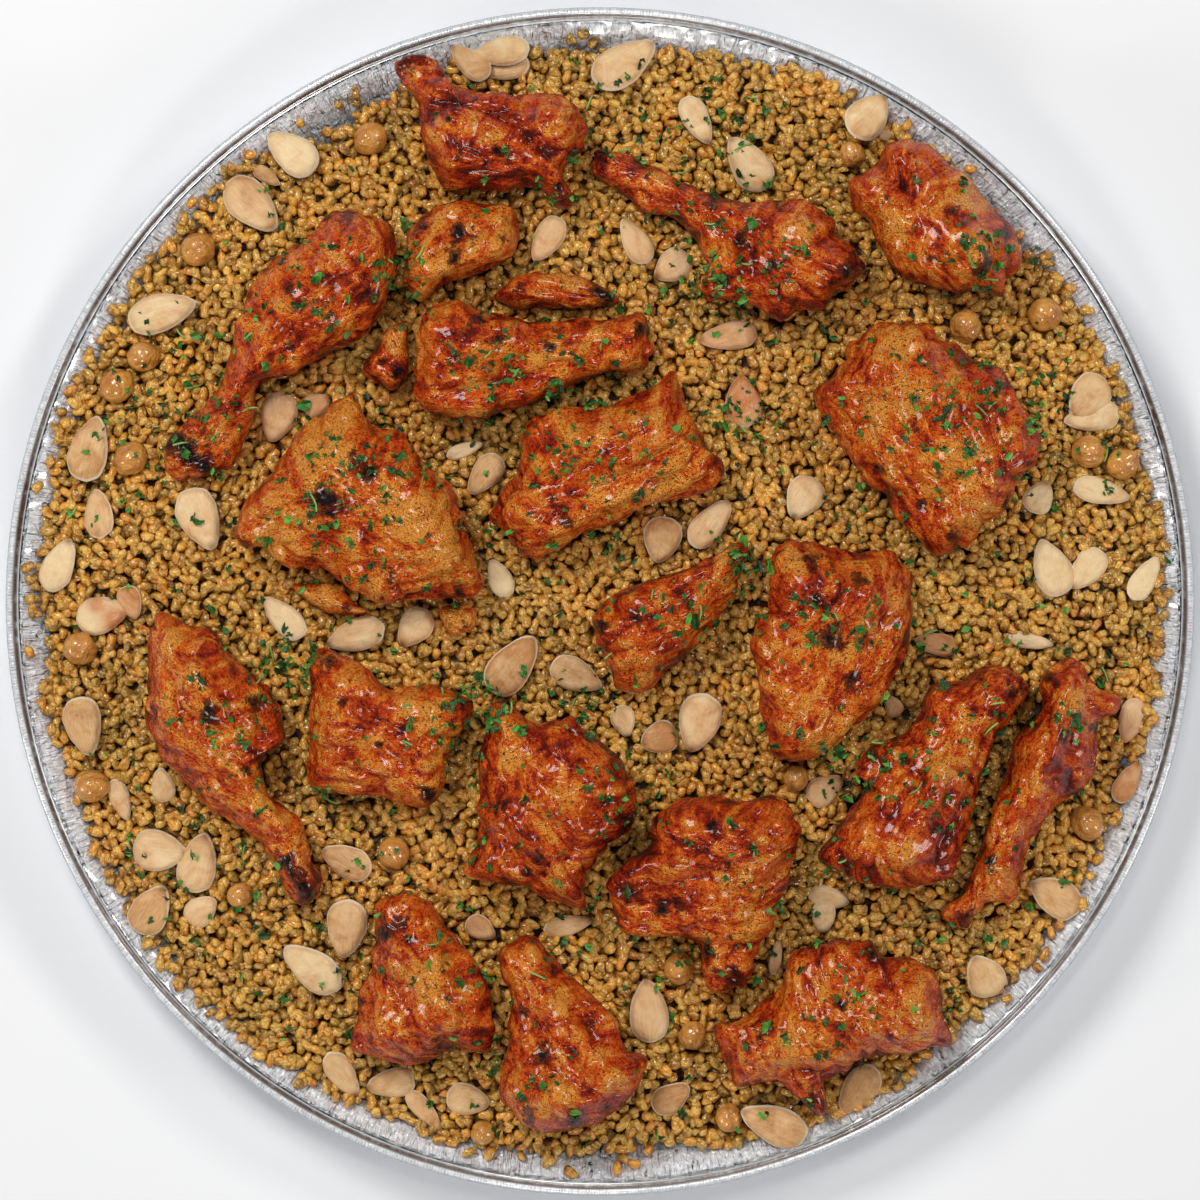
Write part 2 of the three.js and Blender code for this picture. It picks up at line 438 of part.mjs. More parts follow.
// An almond half: a drop-shaped outline with its tip along +X, domed above and slightly keeled below.
function almondGeometry(length, width, sides) {
  const thickness = width * 0.34;
  const ringAt = (share, height) => Array.from({ length: sides }, (_, side) => {
    const angle = (2 * Math.PI * side) / sides;
    const along = Math.cos(angle) * length / 2;
    const across = Math.sin(angle) * (1 - 0.32 * Math.cos(angle)) * width / 2;
    return new THREE.Vector3(share * along, share * across, height * thickness);
  });
  const crown = new THREE.Vector3(0, 0, thickness);
  return ringedBody(crown, [ringAt(0.62, 0.84), ringAt(1, 0.34)], new THREE.Vector3(0, 0, 0));
}

// Turns a piece to its heading, leans it with the bed, and lowers it until it rests a gap above what lies
// under it. With a sink it goes that much into the bed, and still stays clear of the tray.
function layOnBed(geometry, x, y, heading, sink) {
  const step = 4;
  const slopeX = (bedHeight(x + step, y) - bedHeight(x - step, y)) / (2 * step);
  const slopeY = (bedHeight(x, y + step) - bedHeight(x, y - step)) / (2 * step);
  const lean = new THREE.Quaternion().setFromUnitVectors(
    new THREE.Vector3(0, 0, 1),
    new THREE.Vector3(-slopeX, -slopeY, 1).normalize(),
  );
  geometry.rotateZ(THREE.MathUtils.degToRad(heading)).applyQuaternion(lean).translate(x, y, 0);
  const position = geometry.getAttribute('position');
  let lift = 0;
  for (let i = 0; i < position.count; i += 1) {
    const [px, py] = [position.getX(i), position.getY(i)];
    const under = Math.max(bedHeight(px, py) - sink, trayHeight(Math.hypot(px, py)));
    lift = Math.max(lift, under + REST_GAP - position.getZ(i));
  }
  return geometry.translate(0, 0, lift);
}

// Whether a point lies inside a chicken piece's outline, drawn in by a share towards the piece's middle.
function underChicken(x, y, drawnIn) {
  return CHICKEN.some(({ outline, ridge }) => {
    const middleX = (ridge[0][0] + ridge[1][0]) / 2;
    const middleY = (ridge[0][1] + ridge[1][1]) / 2;
    let inside = false;
    for (let i = 0, j = outline.length - 1; i < outline.length; j = i, i += 1) {
      const [ax, ay] = outline[i].map((value, axis) => value + ([middleX, middleY][axis] - value) * drawnIn);
      const [bx, by] = outline[j].map((value, axis) => value + ([middleX, middleY][axis] - value) * drawnIn);
      if ((ay > y) !== (by > y) && x < ((bx - ax) * (y - ay)) / (by - ay) + ax) inside = !inside;
    }
    return inside;
  });
}

// Whether a point lies under a sunk almond or a chickpea, which hide the bed there.
function underSunkPiece(x, y) {
  const underAlmond = SUNK_ALMONDS.some(([atX, atY, heading, length, width]) => {
    const middle = new THREE.Vector2(atX, atY);
    const turned = new THREE.Vector2(x, y).rotateAround(middle, -THREE.MathUtils.degToRad(heading));
    turned.sub(middle);
    return (2 * turned.x / length) ** 2 + (2 * turned.y / width) ** 2 < 1.3;
  });
  return underAlmond || CHICKPEAS.some(([atX, atY, radius]) => Math.hypot(x - atX, y - atY) < radius);
}

// Whether the bed lies open at a point, with a clear step to every chicken piece and every loose almond.
function openBed(x, y, clearance) {
  const nearChicken = CHICKEN.some(({ outline }) => outline.some(([atX, atY], i) => {
    const [nextX, nextY] = outline[(i + 1) % outline.length];
    const side = new THREE.Line3(new THREE.Vector3(atX, atY, 0), new THREE.Vector3(nextX, nextY, 0));
    const point = new THREE.Vector3(x, y, 0);
    return side.closestPointToPoint(point, true, new THREE.Vector3()).distanceTo(point) < clearance;
  }));
  const nearAlmond = ALMONDS.some(([atX, atY, , length]) => (
    Math.hypot(x - atX, y - atY) < length / 2 + clearance
  ));
  return !nearChicken && !nearAlmond && !underChicken(x, y, 0) && !underSunkPiece(x, y);
}

// Delaunay triangles of points in the unit disc: the lower side of the hull of the points raised to a bowl.
function triangulate(points) {
  const raised = points.map(([x, y]) => new THREE.Vector3(x, y, x * x + y * y));
  const places = new Map(raised.map((point, place) => [point, place]));
  const hull = new ConvexHull().setFromPoints(raised);
  return hull.faces.filter((face) => face.normal.z < 0).map(({ edge }) => (
    [edge.next.next, edge.next, edge].map((side) => places.get(side.head().point))
  ));
}

// The bed: a shifted square lattice, every other point a grain's top and the rest the gaps between grains.
function bedGeometry() {
  const draw = seededDraw(41);
  const shift = () => (draw() - 0.5) * 0.35;
  const latticePoints = (pitch, wanted) => {
    const found = [];
    const count = Math.ceil(BED_RADIUS / pitch);
    for (let row = -count; row <= count; row += 1) {
      for (let column = -count; column <= count; column += 1) {
        const x = (column + shift()) * pitch;
        const y = (row + shift()) * pitch;
        const crest = (column + row) % 2 === 0;
        const inRim = Math.hypot(x, y) < BED_RADIUS - pitch * 0.55;
        if (inRim && wanted(x, y)) found.push({ x: x / BED_RADIUS, y: y / BED_RADIUS, crest });
      }
    }
    return found;
  };
  const rim = Array.from({ length: EDGE_POINTS }, (_, i) => {
    const angle = (2 * Math.PI * i) / EDGE_POINTS;
    return { x: Math.cos(angle), y: Math.sin(angle), crest: i % 2 === 0 };
  });
  const open = latticePoints(GRAIN_PITCH, (x, y) => !underChicken(x, y, HIDDEN_IN) && !underSunkPiece(x, y));
  const covered = latticePoints(COVERED_PITCH, (x, y) => underChicken(x, y, HIDDEN_IN));
  const all = [...rim, ...open, ...covered];
  const places = all.map(({ x, y, crest }) => {
    const angle = Math.atan2(y, x);
    const radius = Math.hypot(x, y) * edgeRadius(angle);
    const place = new THREE.Vector3(radius * Math.cos(angle), radius * Math.sin(angle), 0);
    const sink = crest ? 0.3 * draw() : GRAIN_DEPTH * (0.65 + 0.35 * draw());
    const lowest = trayHeight(radius) + TRAY_CLEARANCE + EDGE_THICKNESS;
    place.z = Math.max(bedHeight(place.x, place.y) - sink, lowest);
    return place;
  });
  const faces = triangulate(all.map(({ x, y }) => [x, y]));
  // Its underside: a wall down to the foil, a slope beside the tray's wall and the floor.
  const wallFoot = places.slice(0, EDGE_POINTS).map((place) => {
    const radius = Math.hypot(place.x, place.y);
    return place.clone().setZ(trayHeight(radius) + TRAY_CLEARANCE);
  });
  const floorRim = wallFoot.map((place) => {
    const scale = (FLOOR_RADIUS - 1) / Math.hypot(place.x, place.y);
    return new THREE.Vector3(place.x * scale, place.y * scale, FOIL + TRAY_CLEARANCE);
  });
  const first = places.length;
  const vertices = [...places, ...wallFoot, ...floorRim, new THREE.Vector3(0, 0, FOIL + TRAY_CLEARANCE)];
  const second = first + EDGE_POINTS;
  const centre = vertices.length - 1;
  for (let i = 0; i < EDGE_POINTS; i += 1) {
    const next = (i + 1) % EDGE_POINTS;
    faces.push([i, first + i, first + next], [i, first + next, next]);
    faces.push([first + i, second + i, second + next], [first + i, second + next, first + next]);
    faces.push([centre, second + next, second + i]);
  }
  return indexedGeometry(vertices.flatMap((vertex) => vertex.toArray()), faces.flat());
}

// A parsley flake: a kite folded along its rib, as a thin solid whose two faces are split alike.
function flakeGeometry() {
  const upper = [
    [FLAKE_LENGTH / 2, 0, 0.3],
    [0.6, FLAKE_WIDTH / 2, FLAKE_FOLD],
    [-FLAKE_LENGTH / 2, 0, 0],
    [0, -FLAKE_WIDTH / 2, FLAKE_FOLD],
  ];
  const positions = [...upper, ...upper.map(([x, y, z]) => [x, y, z - FLAKE_THICKNESS])].flat();
  const faces = [0, 1, 2, 0, 2, 3, 4, 6, 5, 4, 7, 6];
  for (let i = 0; i < 4; i += 1) {
    const next = (i + 1) % 4;
    faces.push(i, i + 4, next + 4, i, next + 4, next);
  }
  return indexedGeometry(positions, faces);
}

// Where the flakes lie: drawn at random on the open bed, no two of them close together.
function flakePlaces() {
  const draw = seededDraw(7);
  const found = [];
  while (found.length < FLAKES) {
    const angle = 2 * Math.PI * draw();
    const radius = (BED_RADIUS - 2 * FLAKE_LENGTH) * Math.sqrt(draw());
    const [x, y] = [radius * Math.cos(angle), radius * Math.sin(angle)];
    const apart = found.every((other) => Math.hypot(x - other.x, y - other.y) > FLAKE_SPACING);
    if (apart && openBed(x, y, FLAKE_CLEARANCE)) found.push({ x, y, heading: 2 * Math.PI * draw() });
  }
  return found;
}

// The heap: the bed with the sunk almonds, the chickpeas and the parsley fused on. A loose scrap is dropped.
function heapGeometry() {
  let heap = solidOf(bedGeometry());
  for (const [x, y, heading, length, width] of SUNK_ALMONDS) {
    heap = heap.add(solidOf(layOnBed(almondGeometry(length, width, 6), x, y, heading, SUNK_DEPTH)));
  }
  for (const [x, y, radius] of CHICKPEAS) {
    const ball = new THREE.SphereGeometry(radius, 6, 4).rotateX(Math.PI / 2);
    heap = heap.add(solidOf(ball.translate(x, y, bedHeight(x, y) + radius * 0.2)));
  }
  for (const { x, y, heading } of flakePlaces()) {
    const height = bedHeight(x, y) - FLAKE_SINK + FLAKE_THICKNESS;
    heap = heap.add(solidOf(flakeGeometry().rotateZ(heading).translate(x, y, height)));
  }
  const bodies = heap.decompose();
  return geometryOf(bodies.reduce((largest, body) => (body.volume() > largest.volume() ? body : largest)));
}

function namedMesh(name, geometry, finish) {
  const mesh = new THREE.Mesh(geometry, new THREE.MeshStandardMaterial(finish));
  mesh.name = name;
  return mesh;
}

const group = new THREE.Group();
group.add(namedMesh('foil_tray', trayGeometry(), COLOURS.foil));
group.add(namedMesh('freekeh_heap', heapGeometry(), COLOURS.freekeh));
for (const piece of CHICKEN) {
  group.add(namedMesh(piece.name, chickenGeometry(piece), COLOURS.chicken));
}
ALMONDS.forEach(([x, y, heading, length, width], i) => {
  const name = `almond_${String(i + 1).padStart(2, '0')}`;
  group.add(namedMesh(name, layOnBed(almondGeometry(length, width, 9), x, y, heading, 0), COLOURS.almond));
});

export default group;
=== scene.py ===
"""A round foil catering tray of freekeh with roast chicken, almond halves, chickpeas and parsley.

Tables and shapes are in millimetres, like the frame's own source, and MM turns them into metres when a
mesh is made. The origin is under the middle of the tray, +Z up, +Y towards the top of the photograph.
Noise in a shape is given as size, seed and octaves, and in a material as scale, detail and so on.
"""

import json
from math import pi, radians

import bpy
import numpy as np
from bpy.props import FloatProperty, FloatVectorProperty, IntProperty, PointerProperty
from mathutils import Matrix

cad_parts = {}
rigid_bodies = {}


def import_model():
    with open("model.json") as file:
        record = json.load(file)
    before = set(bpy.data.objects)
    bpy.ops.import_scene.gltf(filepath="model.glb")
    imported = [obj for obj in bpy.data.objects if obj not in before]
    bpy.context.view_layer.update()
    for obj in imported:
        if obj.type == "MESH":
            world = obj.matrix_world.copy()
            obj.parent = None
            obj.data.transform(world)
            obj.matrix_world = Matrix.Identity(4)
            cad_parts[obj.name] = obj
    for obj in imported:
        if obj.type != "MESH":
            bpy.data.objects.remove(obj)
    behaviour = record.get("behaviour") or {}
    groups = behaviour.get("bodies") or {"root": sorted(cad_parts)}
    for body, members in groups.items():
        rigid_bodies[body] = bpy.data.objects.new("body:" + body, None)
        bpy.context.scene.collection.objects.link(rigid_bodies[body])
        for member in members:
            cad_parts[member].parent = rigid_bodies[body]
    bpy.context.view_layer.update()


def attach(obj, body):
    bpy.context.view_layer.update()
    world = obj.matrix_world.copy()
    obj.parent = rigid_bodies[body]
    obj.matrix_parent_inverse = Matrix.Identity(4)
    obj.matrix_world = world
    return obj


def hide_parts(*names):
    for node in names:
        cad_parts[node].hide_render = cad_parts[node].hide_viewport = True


bl_info = {
    "name": "Plate of Chicken Freekeh",
    "version": (1, 0, 0),
    "blender": (4, 5, 0),
    "location": "3D View > Sidebar > Freekeh",
    "description": "Builds a foil tray of freekeh topped with roast chicken, almonds and parsley",
    "category": "Object",
}

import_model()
MM = 0.001

# Tray, from the floor's corner out to the bead: radius and height of its upper face.
TRAY_RADII = (0, 170, 172, 193.5, 198, 198.6, 199.7, 200.2, 203)
TRAY_HEIGHTS = (0.8, 0.8, 2.2, 22, 24.9, 25.2, 24.3, 25.2, 26)
TRAY_FOIL = 0.8
RIM_RADIUS = 203
RIM_HEIGHT = 26

# The pressed tray's outer and inner profile: corners, and the steps from each to the next.
OUTSIDE = ((120, 0), (169, 0), (170.8, 0.35), (172.55, 1.6), (194, 21.35), (198.5, 24.2), (199.9, 23.2))
OUTSIDE_STEPS = (2, 1, 1, 8, 3, 1)
INSIDE = ((199.7, 24.35), (199.2, 24.75), (198.6, 25.2), (198, 24.9), (193.5, 22), (172, 2.2), (170, 0.8),
          (120, 0.8))
INSIDE_STEPS = (1, 1, 1, 6, 9, 1, 2)

# The rolled bead: its middle, its own radius, and the degrees that it curls through in so many points.
BEAD_MIDDLE = (201.5, 24.5)
BEAD_RADIUS = 1.5
BEAD_CURL = (-100, 165, 11)

# Radii between which the tray's zones set in and fade out again.
PLEATED_BAND = (193.6, 194.6, 197.2, 198.2)
CREASED_WALL = (171, 176, 192.6, 193.6)
CREASED_FOIL = (171, 176, 197.6, 198.4)
BEAD_START = (200.2, 200.9)
# The bead's lip and foot are zones of painted shade, and LIP_SHADE is how dark that shade is.
BEAD_LIP = (202.3, 202.9)
BEAD_FOOT = (199.4, 200, 200.3, 200.9)
LIP_SHADE = 0.8

# The oiled groove inside the bead: radius, reach and lowest height, and the stains on it: x, y and reach.
OIL_GROOVE = (199.7, 0.75, 23.5)
OIL_STAINS = [(106, -168, 14), (88, -178, 10), (-90, 176, 12), (-196, 30, 10), (190, 60, 9)]

# Freekeh bed: a low dome with swells on it, that fade out from a radius on.
BED_RADIUS = 190
BED_EDGE_HEIGHT = 22
BED_CROWN = 14
BED_FALL = 2.5
SWELL_HEIGHTS = (1.4, 0.9)
SWELL_FADE = 120

# Its ragged edge: mean radius; height, number and turn of its waves; depth, angle and reach of its bays.
EDGE_RADIUS = 188.2
EDGE_WAVES = ((1.4, 5, 1), (1.0, 11, 2), (0.8, 23, 0))
EDGE_BAYS = ((3.5, -1.5, 0.25), (4, 2.05, 0.12))

# The deep grain under the kernels: depth, gap to the edge and to the tray, least cover, rings and points on
# each, and the shares of the radius that its base's rings lie at.
CORE_DEPTH = 4.4
CORE_INSET = 2.2
CORE_GAP = 0.45
CORE_COVER = 1.0
CORE_RINGS, CORE_SIDES = 60, 300
CORE_BASE = (0.985, 0.955, 0.925, 0.9, 0.6, 0.3)

# How things rest: the gap under chicken and nuts, and how deep sunk almonds and broken bits lie.
REST_GAP = 0.6
SUNK_DEPTH = 2.5
BIT_DEPTH = 1.2

# A piece of chicken: gap to its outline, share of the rise where it is widest, share of its width at its
# foot, and how much deeper folds are than their table says.
SIDE_GAP = 0.35
WIDEST_AT = 0.36
FOOT_SHRINK = 0.8
FOLD_GAIN = 1.5

# Its mesh: a step round it, fewest and most steps, fewest and most rings above, rings below, and a step of
# its ridge.
SKIN_STEP = 0.95
SKIN_SIDES = (90, 330)
SKIN_ROWS = (14, 36)
TUCK_ROWS = 6
RIDGE_STEP = 1.5

# Chicken pieces, looked down on. The outline goes round a piece, the ridge is the line that its top runs
# along, and the rise is its height over the bed at the ridge's ends. A lobe is a swelling: x, y, reach and
# height. A fold runs from point to point with a width and a height, below nought for a crease. Gold and
# char are patches of the skin: x, y and reach. Roast is how much darker the whole piece is than its
# neighbours.
CHICKEN = {
    "chicken_leg_quarter_top": dict(
        ridge=((-44, 162), (-24, 158)), rise=(25, 24), roast=0.16,
        outline=((-68, 187), (-57, 186), (-50, 176), (-28, 173), (-13, 171), (-6, 165), (-5, 153),
                 (-13, 147), (-8, 135), (-14, 133), (-21, 140), (-32, 139), (-44, 139), (-53, 139),
                 (-58, 147), (-62, 157), (-63, 170), (-70, 180)),
        lobes=[(-14, 160, 8, 5), (-33, 159, 9, -4), (-60, 180, 8, -5), (-46, 152, 10, 3)],
        folds=[(-57.6, 168.1, -40.7, 168.1, 2.2, -2.6), (-40.7, 168.1, -25.4, 158, 2.2, -2.6),
               (-25.4, 158, -20.3, 149.5, 2.2, -2.4), (-49.2, 152.9, -29.8, 146.1, 3, -1.6),
               (-44.1, 137.6, -27.1, 142.7, 3, 1.6)],
        gold=[(-39, 155.6, 5), (-50.9, 141, 6), (-57, 156.3, 5), (-13.6, 163.7, 7)],
        char=[(-47.1, 150.9, 2.4), (-51.2, 162.4, 2.2), (-34.9, 151.9, 2.4), (-30.8, 148.8, 3),
              (-66.1, 183.4, 5), (-13.6, 139.3, 4)],
    ),
    "chicken_leg_quarter_flap": dict(
        ridge=((-57, 116), (-40, 123)), rise=(22, 22), roast=-0.22,
        outline=((-53, 136), (-40, 136), (-30, 135), (-28, 130), (-27, 122), (-31, 115), (-42, 110.5),
                 (-54, 105), (-61, 100.5), (-66.5, 106), (-67, 118), (-63.5, 129)),
        lobes=[(-47, 124, 8, -4), (-60, 112, 8, 3)],
        folds=[(-69.5, 105.4, -23.7, 122.4, 2.6, 1.8), (-64.4, 112.2, -33.9, 127.5, 2, -1.6),
               (-57.6, 98.6, -27.1, 112.2, 2, -1.4)],
        gold=[(-54.2, 110.5, 6), (-61, 102, 4)],
        char=[(-31.5, 122.4, 3), (-50.2, 116.3, 3), (-45.8, 124.1, 5), (-59.3, 127.5, 3)],
    ),
    "chicken_drumstick_left": dict(
        ridge=((-139, 50), (-88, 112)), rise=(13, 32), roast=0.14,
        outline=((-149, 54), (-148, 43), (-140, 41), (-125, 46), (-118, 60), (-114, 73), (-99, 79),
                 (-80, 89), (-73, 98), (-68, 117), (-74, 130), (-88, 133), (-100, 124), (-116, 110),
                 (-125, 92), (-131, 72), (-143, 61)),
        lobes=[(-80, 120, 12, 4), (-100, 88, 9, -3)],
        folds=[(-130.5, 61.4, -101.7, 102, 3, 1.2), (-91.5, 119, -74.6, 91.9, 3, -1.5),
               (-114.6, 102, -94.9, 81.7, 3, -1)],
        gold=[(-101.7, 80, 6), (-125.4, 58, 6), (-114.6, 91.9, 5), (-86.4, 115.6, 4)],
        char=[(-140, 50.5, 7), (-145.8, 54.6, 5), (-133.9, 45.8, 5), (-114.6, 112.2, 3),
              (-105.8, 105.4, 3), (-91.5, 99.7, 3), (-103.1, 85.1, 2.5), (-77.3, 102, 4),
              (-84.8, 128.5, 4)],
    ),
    "chicken_scrap_left": dict(
        ridge=((-71, 78), (-69, 90)), rise=(11, 11),
        outline=((-76, 86), (-70, 94), (-65, 94), (-65, 84), (-65, 75), (-70, 71), (-76, 75), (-81, 79)),
        folds=[(-72.9, 85.1, -67.8, 76.6, 2, -1.2)],
        gold=[(-69.5, 86.8, 3)],
        char=[(-68.5, 77.6, 3), (-73.9, 81, 2)],
    ),
    "chicken_thigh_upper": dict(
        ridge=((-46, 83), (4, 87)), rise=(27, 17),
        outline=((-61, 97), (-50, 103), (-43, 101), (-35, 98), (-25, 96), (-1, 96), (15, 98), (18, 90),
                 (17, 80), (7, 77), (-7, 74.6), (-22, 66), (-37, 61), (-47, 60), (-56, 62), (-62, 66),
                 (-63, 82)),
        lobes=[(-50, 90, 12, 4), (-28, 76, 9, -3), (8, 88, 8, 2)],
        folds=[(-57.6, 63.1, -13.6, 71.5, 3, 2), (-54.2, 68.1, -13.6, 77.6, 2, -1.6),
               (-27.1, 91.9, 6.8, 85.1, 3, -1.4)],
        gold=[(-52.5, 102, 6), (-61, 88.5, 5), (-44.1, 73.2, 6), (-18.6, 81.7, 5), (0, 88.5, 4)],
        char=[(-40.7, 94.2, 3.4), (-33.2, 88.5, 3), (-17, 86.1, 2.6), (13.6, 91.9, 4), (-49.2, 80, 2.4)],
    ),
    "chicken_dark_meat_upper": dict(
        ridge=((-28, 106), (-2, 104)), rise=(11, 10),
        outline=((-36, 104), (-27, 110), (-20, 112), (-9, 112), (0, 109), (7, 104), (6, 100), (-8, 99),
                 (-25, 99.5), (-34, 101.5)),
        lobes=[(-14, 107, 5, 3)],
        folds=[(-27.1, 107.1, 0, 102, 2, -1.2)],
        gold=[(-14.2, 109.2, 3.5), (-9.5, 106.1, 2.5)],
        char=[(-0.7, 106.1, 4.5), (-27.1, 104.8, 4), (3.4, 102, 4)],
    ),
    "chicken_ridged_thigh": dict(
        ridge=((-16, 32), (20, 58)), rise=(24, 26), roast=-0.1,
        outline=((25, 78), (28.5, 70), (33.5, 59), (37, 51), (42, 47), (40.5, 41), (32, 36), (17, 31),
                 (8, 26.5), (-3, 23), (-18, 14), (-25, 14), (-30, 18), (-33, 23), (-37, 29), (-33, 37),
                 (-28, 47), (-26, 57), (-20.7, 61.7), (-11.5, 65), (2.7, 66), (14, 71), (21, 75)),
        lobes=[(8, 60, 9, 3), (-6, 45, 6, -2), (4, 36, 7, 2)],
        folds=[(-32.2, 24.1, 30.5, 58, 2.6, 1.8), (-30.5, 15.6, 33.9, 49.5, 2.4, 1.5),
               (-33.9, 32.5, 23.7, 66.4, 2.4, 1.5), (-20.3, 13.9, 37.3, 42.7, 2.2, 1.2),
               (-27.1, 41, 13.6, 63.1, 2, 1.2)],
        gold=[(-3.4, 54.6, 5), (27.1, 37.6, 7), (18.6, 34.2, 6), (-13.6, 20.7, 4)],
        char=[(17.6, 39.7, 3.5), (-11.9, 27.8, 3.5), (-27.1, 19, 4), (3.4, 49.5, 2.5)],
    ),
    "chicken_leg_top": dict(
        ridge=((14, 142), (66, 117)), rise=(15, 27), roast=0.34,
        outline=((-3, 154), (7, 153), (18, 148), (31, 142), (44, 138), (60, 136), (73, 135), (79, 130),
                 (82, 124), (88, 119), (90, 113), (87, 107), (82, 104), (77, 98), (67, 97), (60, 93),
                 (53.6, 99), (45, 101), (37, 101), (34, 105), (36, 111.5), (35, 116), (31, 122.7),
                 (25, 129), (15, 132), (5, 140), (-3, 146)),
        lobes=[(49, 121, 7, -5), (46, 108, 8, 3), (85, 113, 6, 4), (66, 122, 10, 3)],
        folds=[(3.4, 151.2, 33.9, 135.9, 3, 1.4), (33.9, 130.9, 54.2, 115.6, 3, -1.5),
               (44.1, 102, 67.8, 105.4, 3, 1.3)],
        gold=[(40.7, 119, 6), (20.3, 142.7, 5), (33.9, 130.9, 5), (52.5, 102, 5), (67.8, 125.8, 5)],
        char=[(-0.3, 152.2, 4.5), (47.5, 120.7, 5), (89.8, 114.9, 7), (81.4, 110.5, 4),
              (57.6, 112.2, 3), (64.4, 100.3, 3)],
    ),
    "chicken_thigh_top_right": dict(
        ridge=((102, 138), (121, 120)), rise=(26, 27),
        outline=((98, 156), (105, 158), (112, 155), (126, 145), (132.5, 137), (139.7, 129), (144, 116),
                 (139, 108), (137, 104.5), (123, 104), (105, 107.5), (98, 114), (93, 122), (90, 129),
                 (85, 134), (85, 142), (89, 145.5), (95, 149), (96, 153)),
        lobes=[(98, 144, 6, -4), (104, 152, 7, 3), (128, 122, 9, 3)],
        folds=[(100.7, 147.5, 103.7, 136.3, 2, -3), (118.7, 130.2, 130.5, 116.3, 3, 1.4),
               (94.9, 135.9, 111.9, 114.9, 3, 1.2)],
        gold=[(130.5, 141, 8), (124.8, 140, 7), (113.6, 135.9, 6), (101.7, 125.8, 5), (122, 152.9, 6)],
        char=[(118.7, 130.2, 2.6), (111.2, 114.9, 3), (130.5, 116.3, 4), (127.8, 111.2, 3.5),
              (137.3, 124.1, 4)],
    ),
    "chicken_thigh_right": dict(
        ridge=((100, 72), (124, 42)), rise=(34, 30),
        outline=((71, 71), (79, 77.6), (85, 86.5), (95, 94), (109, 95.5), (117, 90), (126, 83),
                 (135, 79), (144, 67), (149, 54), (148.5, 47.8), (142, 41), (139, 33), (132, 27.5),
                 (126, 20), (117, 15.5), (112, 15), (105, 22), (97, 32), (88, 42), (82, 50), (75, 63)),
        lobes=[(98, 86, 12, 4), (134, 62, 7, -4), (106, 57, 6, -2), (140, 56, 8, 2)],
        folds=[(127.1, 66.4, 137.3, 41, 2.4, -2.2), (94.9, 54.6, 122, 34.2, 3, 1.2),
               (98.3, 91.9, 122, 88.5, 4, 1.2)],
        gold=[(98.3, 86.8, 9), (111.9, 68.1, 8), (122, 47.8, 6), (101.7, 68.1, 6), (130.5, 27.5, 5),
              (91.5, 61.4, 5)],
        char=[(107.5, 32.5, 3), (138, 32.9, 3.4), (105.8, 57.3, 2.6), (135.6, 71.5, 4),
              (118.7, 20.7, 4), (93.2, 44.4, 3)],
    ),
    "chicken_drumette": dict(
        ridge=((12, -14), (38, 9)), rise=(25, 15), roast=-0.1,
        outline=((-4, -6), (-2, -2), (6, 4), (16, 8.5), (26.4, 11.5), (37, 15.5), (46, 20.5),
                 (52, 18.5), (49.5, 10), (44.5, 0.7), (38.6, -7), (29, -19), (24, -24), (16.6, -31),
                 (11.5, -32), (6, -30), (2.4, -24), (-0.7, -16)),
        lobes=[(14, -4, 9, 3)],
        folds=[(0, -1.4, 40.7, 12.2, 2.6, 1.6), (3.4, -13.2, 33.9, 3.7, 2.4, -1.4)],
        gold=[(35.6, -13.2, 5), (13.6, -20, 5), (20.3, 0.3, 4)],
        char=[(26.4, 3.7, 2.6), (30.5, -1, 2.4), (11.9, -4.7, 2.6), (45.8, 16.6, 3.5), (0, -8.1, 4)],
    ),
    "chicken_thigh_middle": dict(
        ridge=((78, -2), (76, -34)), rise=(30, 27),
        outline=((58, 18), (63, 21), (73, 21), (82, 18.5), (87, 17), (93, 18.5), (99, 17.5),
                 (104, 13.6), (106.5, 7.8), (105.5, -4), (103, -17.6), (98, -27.5), (93.5, -36),
                 (86, -43), (80, -48.5), (70.5, -53), (61, -54), (56.5, -48.5), (54, -37), (52, -22),
                 (51, -6), (55, -3), (56, 7.8)),
        lobes=[(92, 4, 10, 3), (66, 6, 10, 3), (80, -14, 9, -3), (70, -44, 9, -3)],
        folds=[(74.6, -47.1, 91.5, -16.6, 3, -1.4), (61, 13.9, 67.8, -16.6, 3, 1.3),
               (103.4, 0.3, 105.8, -16.6, 3, 1.6), (57.6, -30.2, 78, -48.8, 3, 1.2)],
        gold=[(67.8, -33.6, 6), (74.6, -47.1, 6), (64.4, 13.9, 5), (81.4, -40.3, 5), (98.3, 0.3, 4)],
        char=[(69.5, 13.9, 5), (71.9, 0.3, 5), (78, -13.2, 5.5), (84.8, -26.8, 5), (87.1, 8.5, 3.5),
              (88.1, 19, 4)],
    ),
    "chicken_thigh_lower_right": dict(
        ridge=((129, -38), (99, -82)), rise=(25, 25), roast=0.12,
        outline=((111, -28), (123, -26), (132, -22), (142, -23), (145, -31), (138, -42), (133.5, -53),
                 (127, -70), (121, -87), (115.5, -95), (107, -97), (97, -97.5), (86, -94), (76, -90),
                 (73, -86), (78, -77), (86, -67), (88, -60), (85, -56), (91, -48), (101, -44),
                 (107, -38)),
        lobes=[(112, -62, 9, 4), (98, -55, 7, -4), (128, -32, 9, 3), (88, -84, 8, 2)],
        folds=[(127.1, -30.2, 101.7, -87.8, 3, 1.6), (135.6, -33.6, 111.9, -91.2, 2.6, -1.8),
               (117, -40.3, 94.9, -77.6, 2.6, -1.4), (130.5, -53.9, 115.3, -87.8, 2.4, 1.2)],
        gold=[(100, -64.1, 6), (111.9, -53.9, 6), (122, -40.3, 4), (101.7, -84.4, 6)],
        char=[(86.4, -47.1, 6), (94.9, -52.9, 5), (99.3, -45.4, 4), (127.1, -21.7, 6), (139, -30.2, 4),
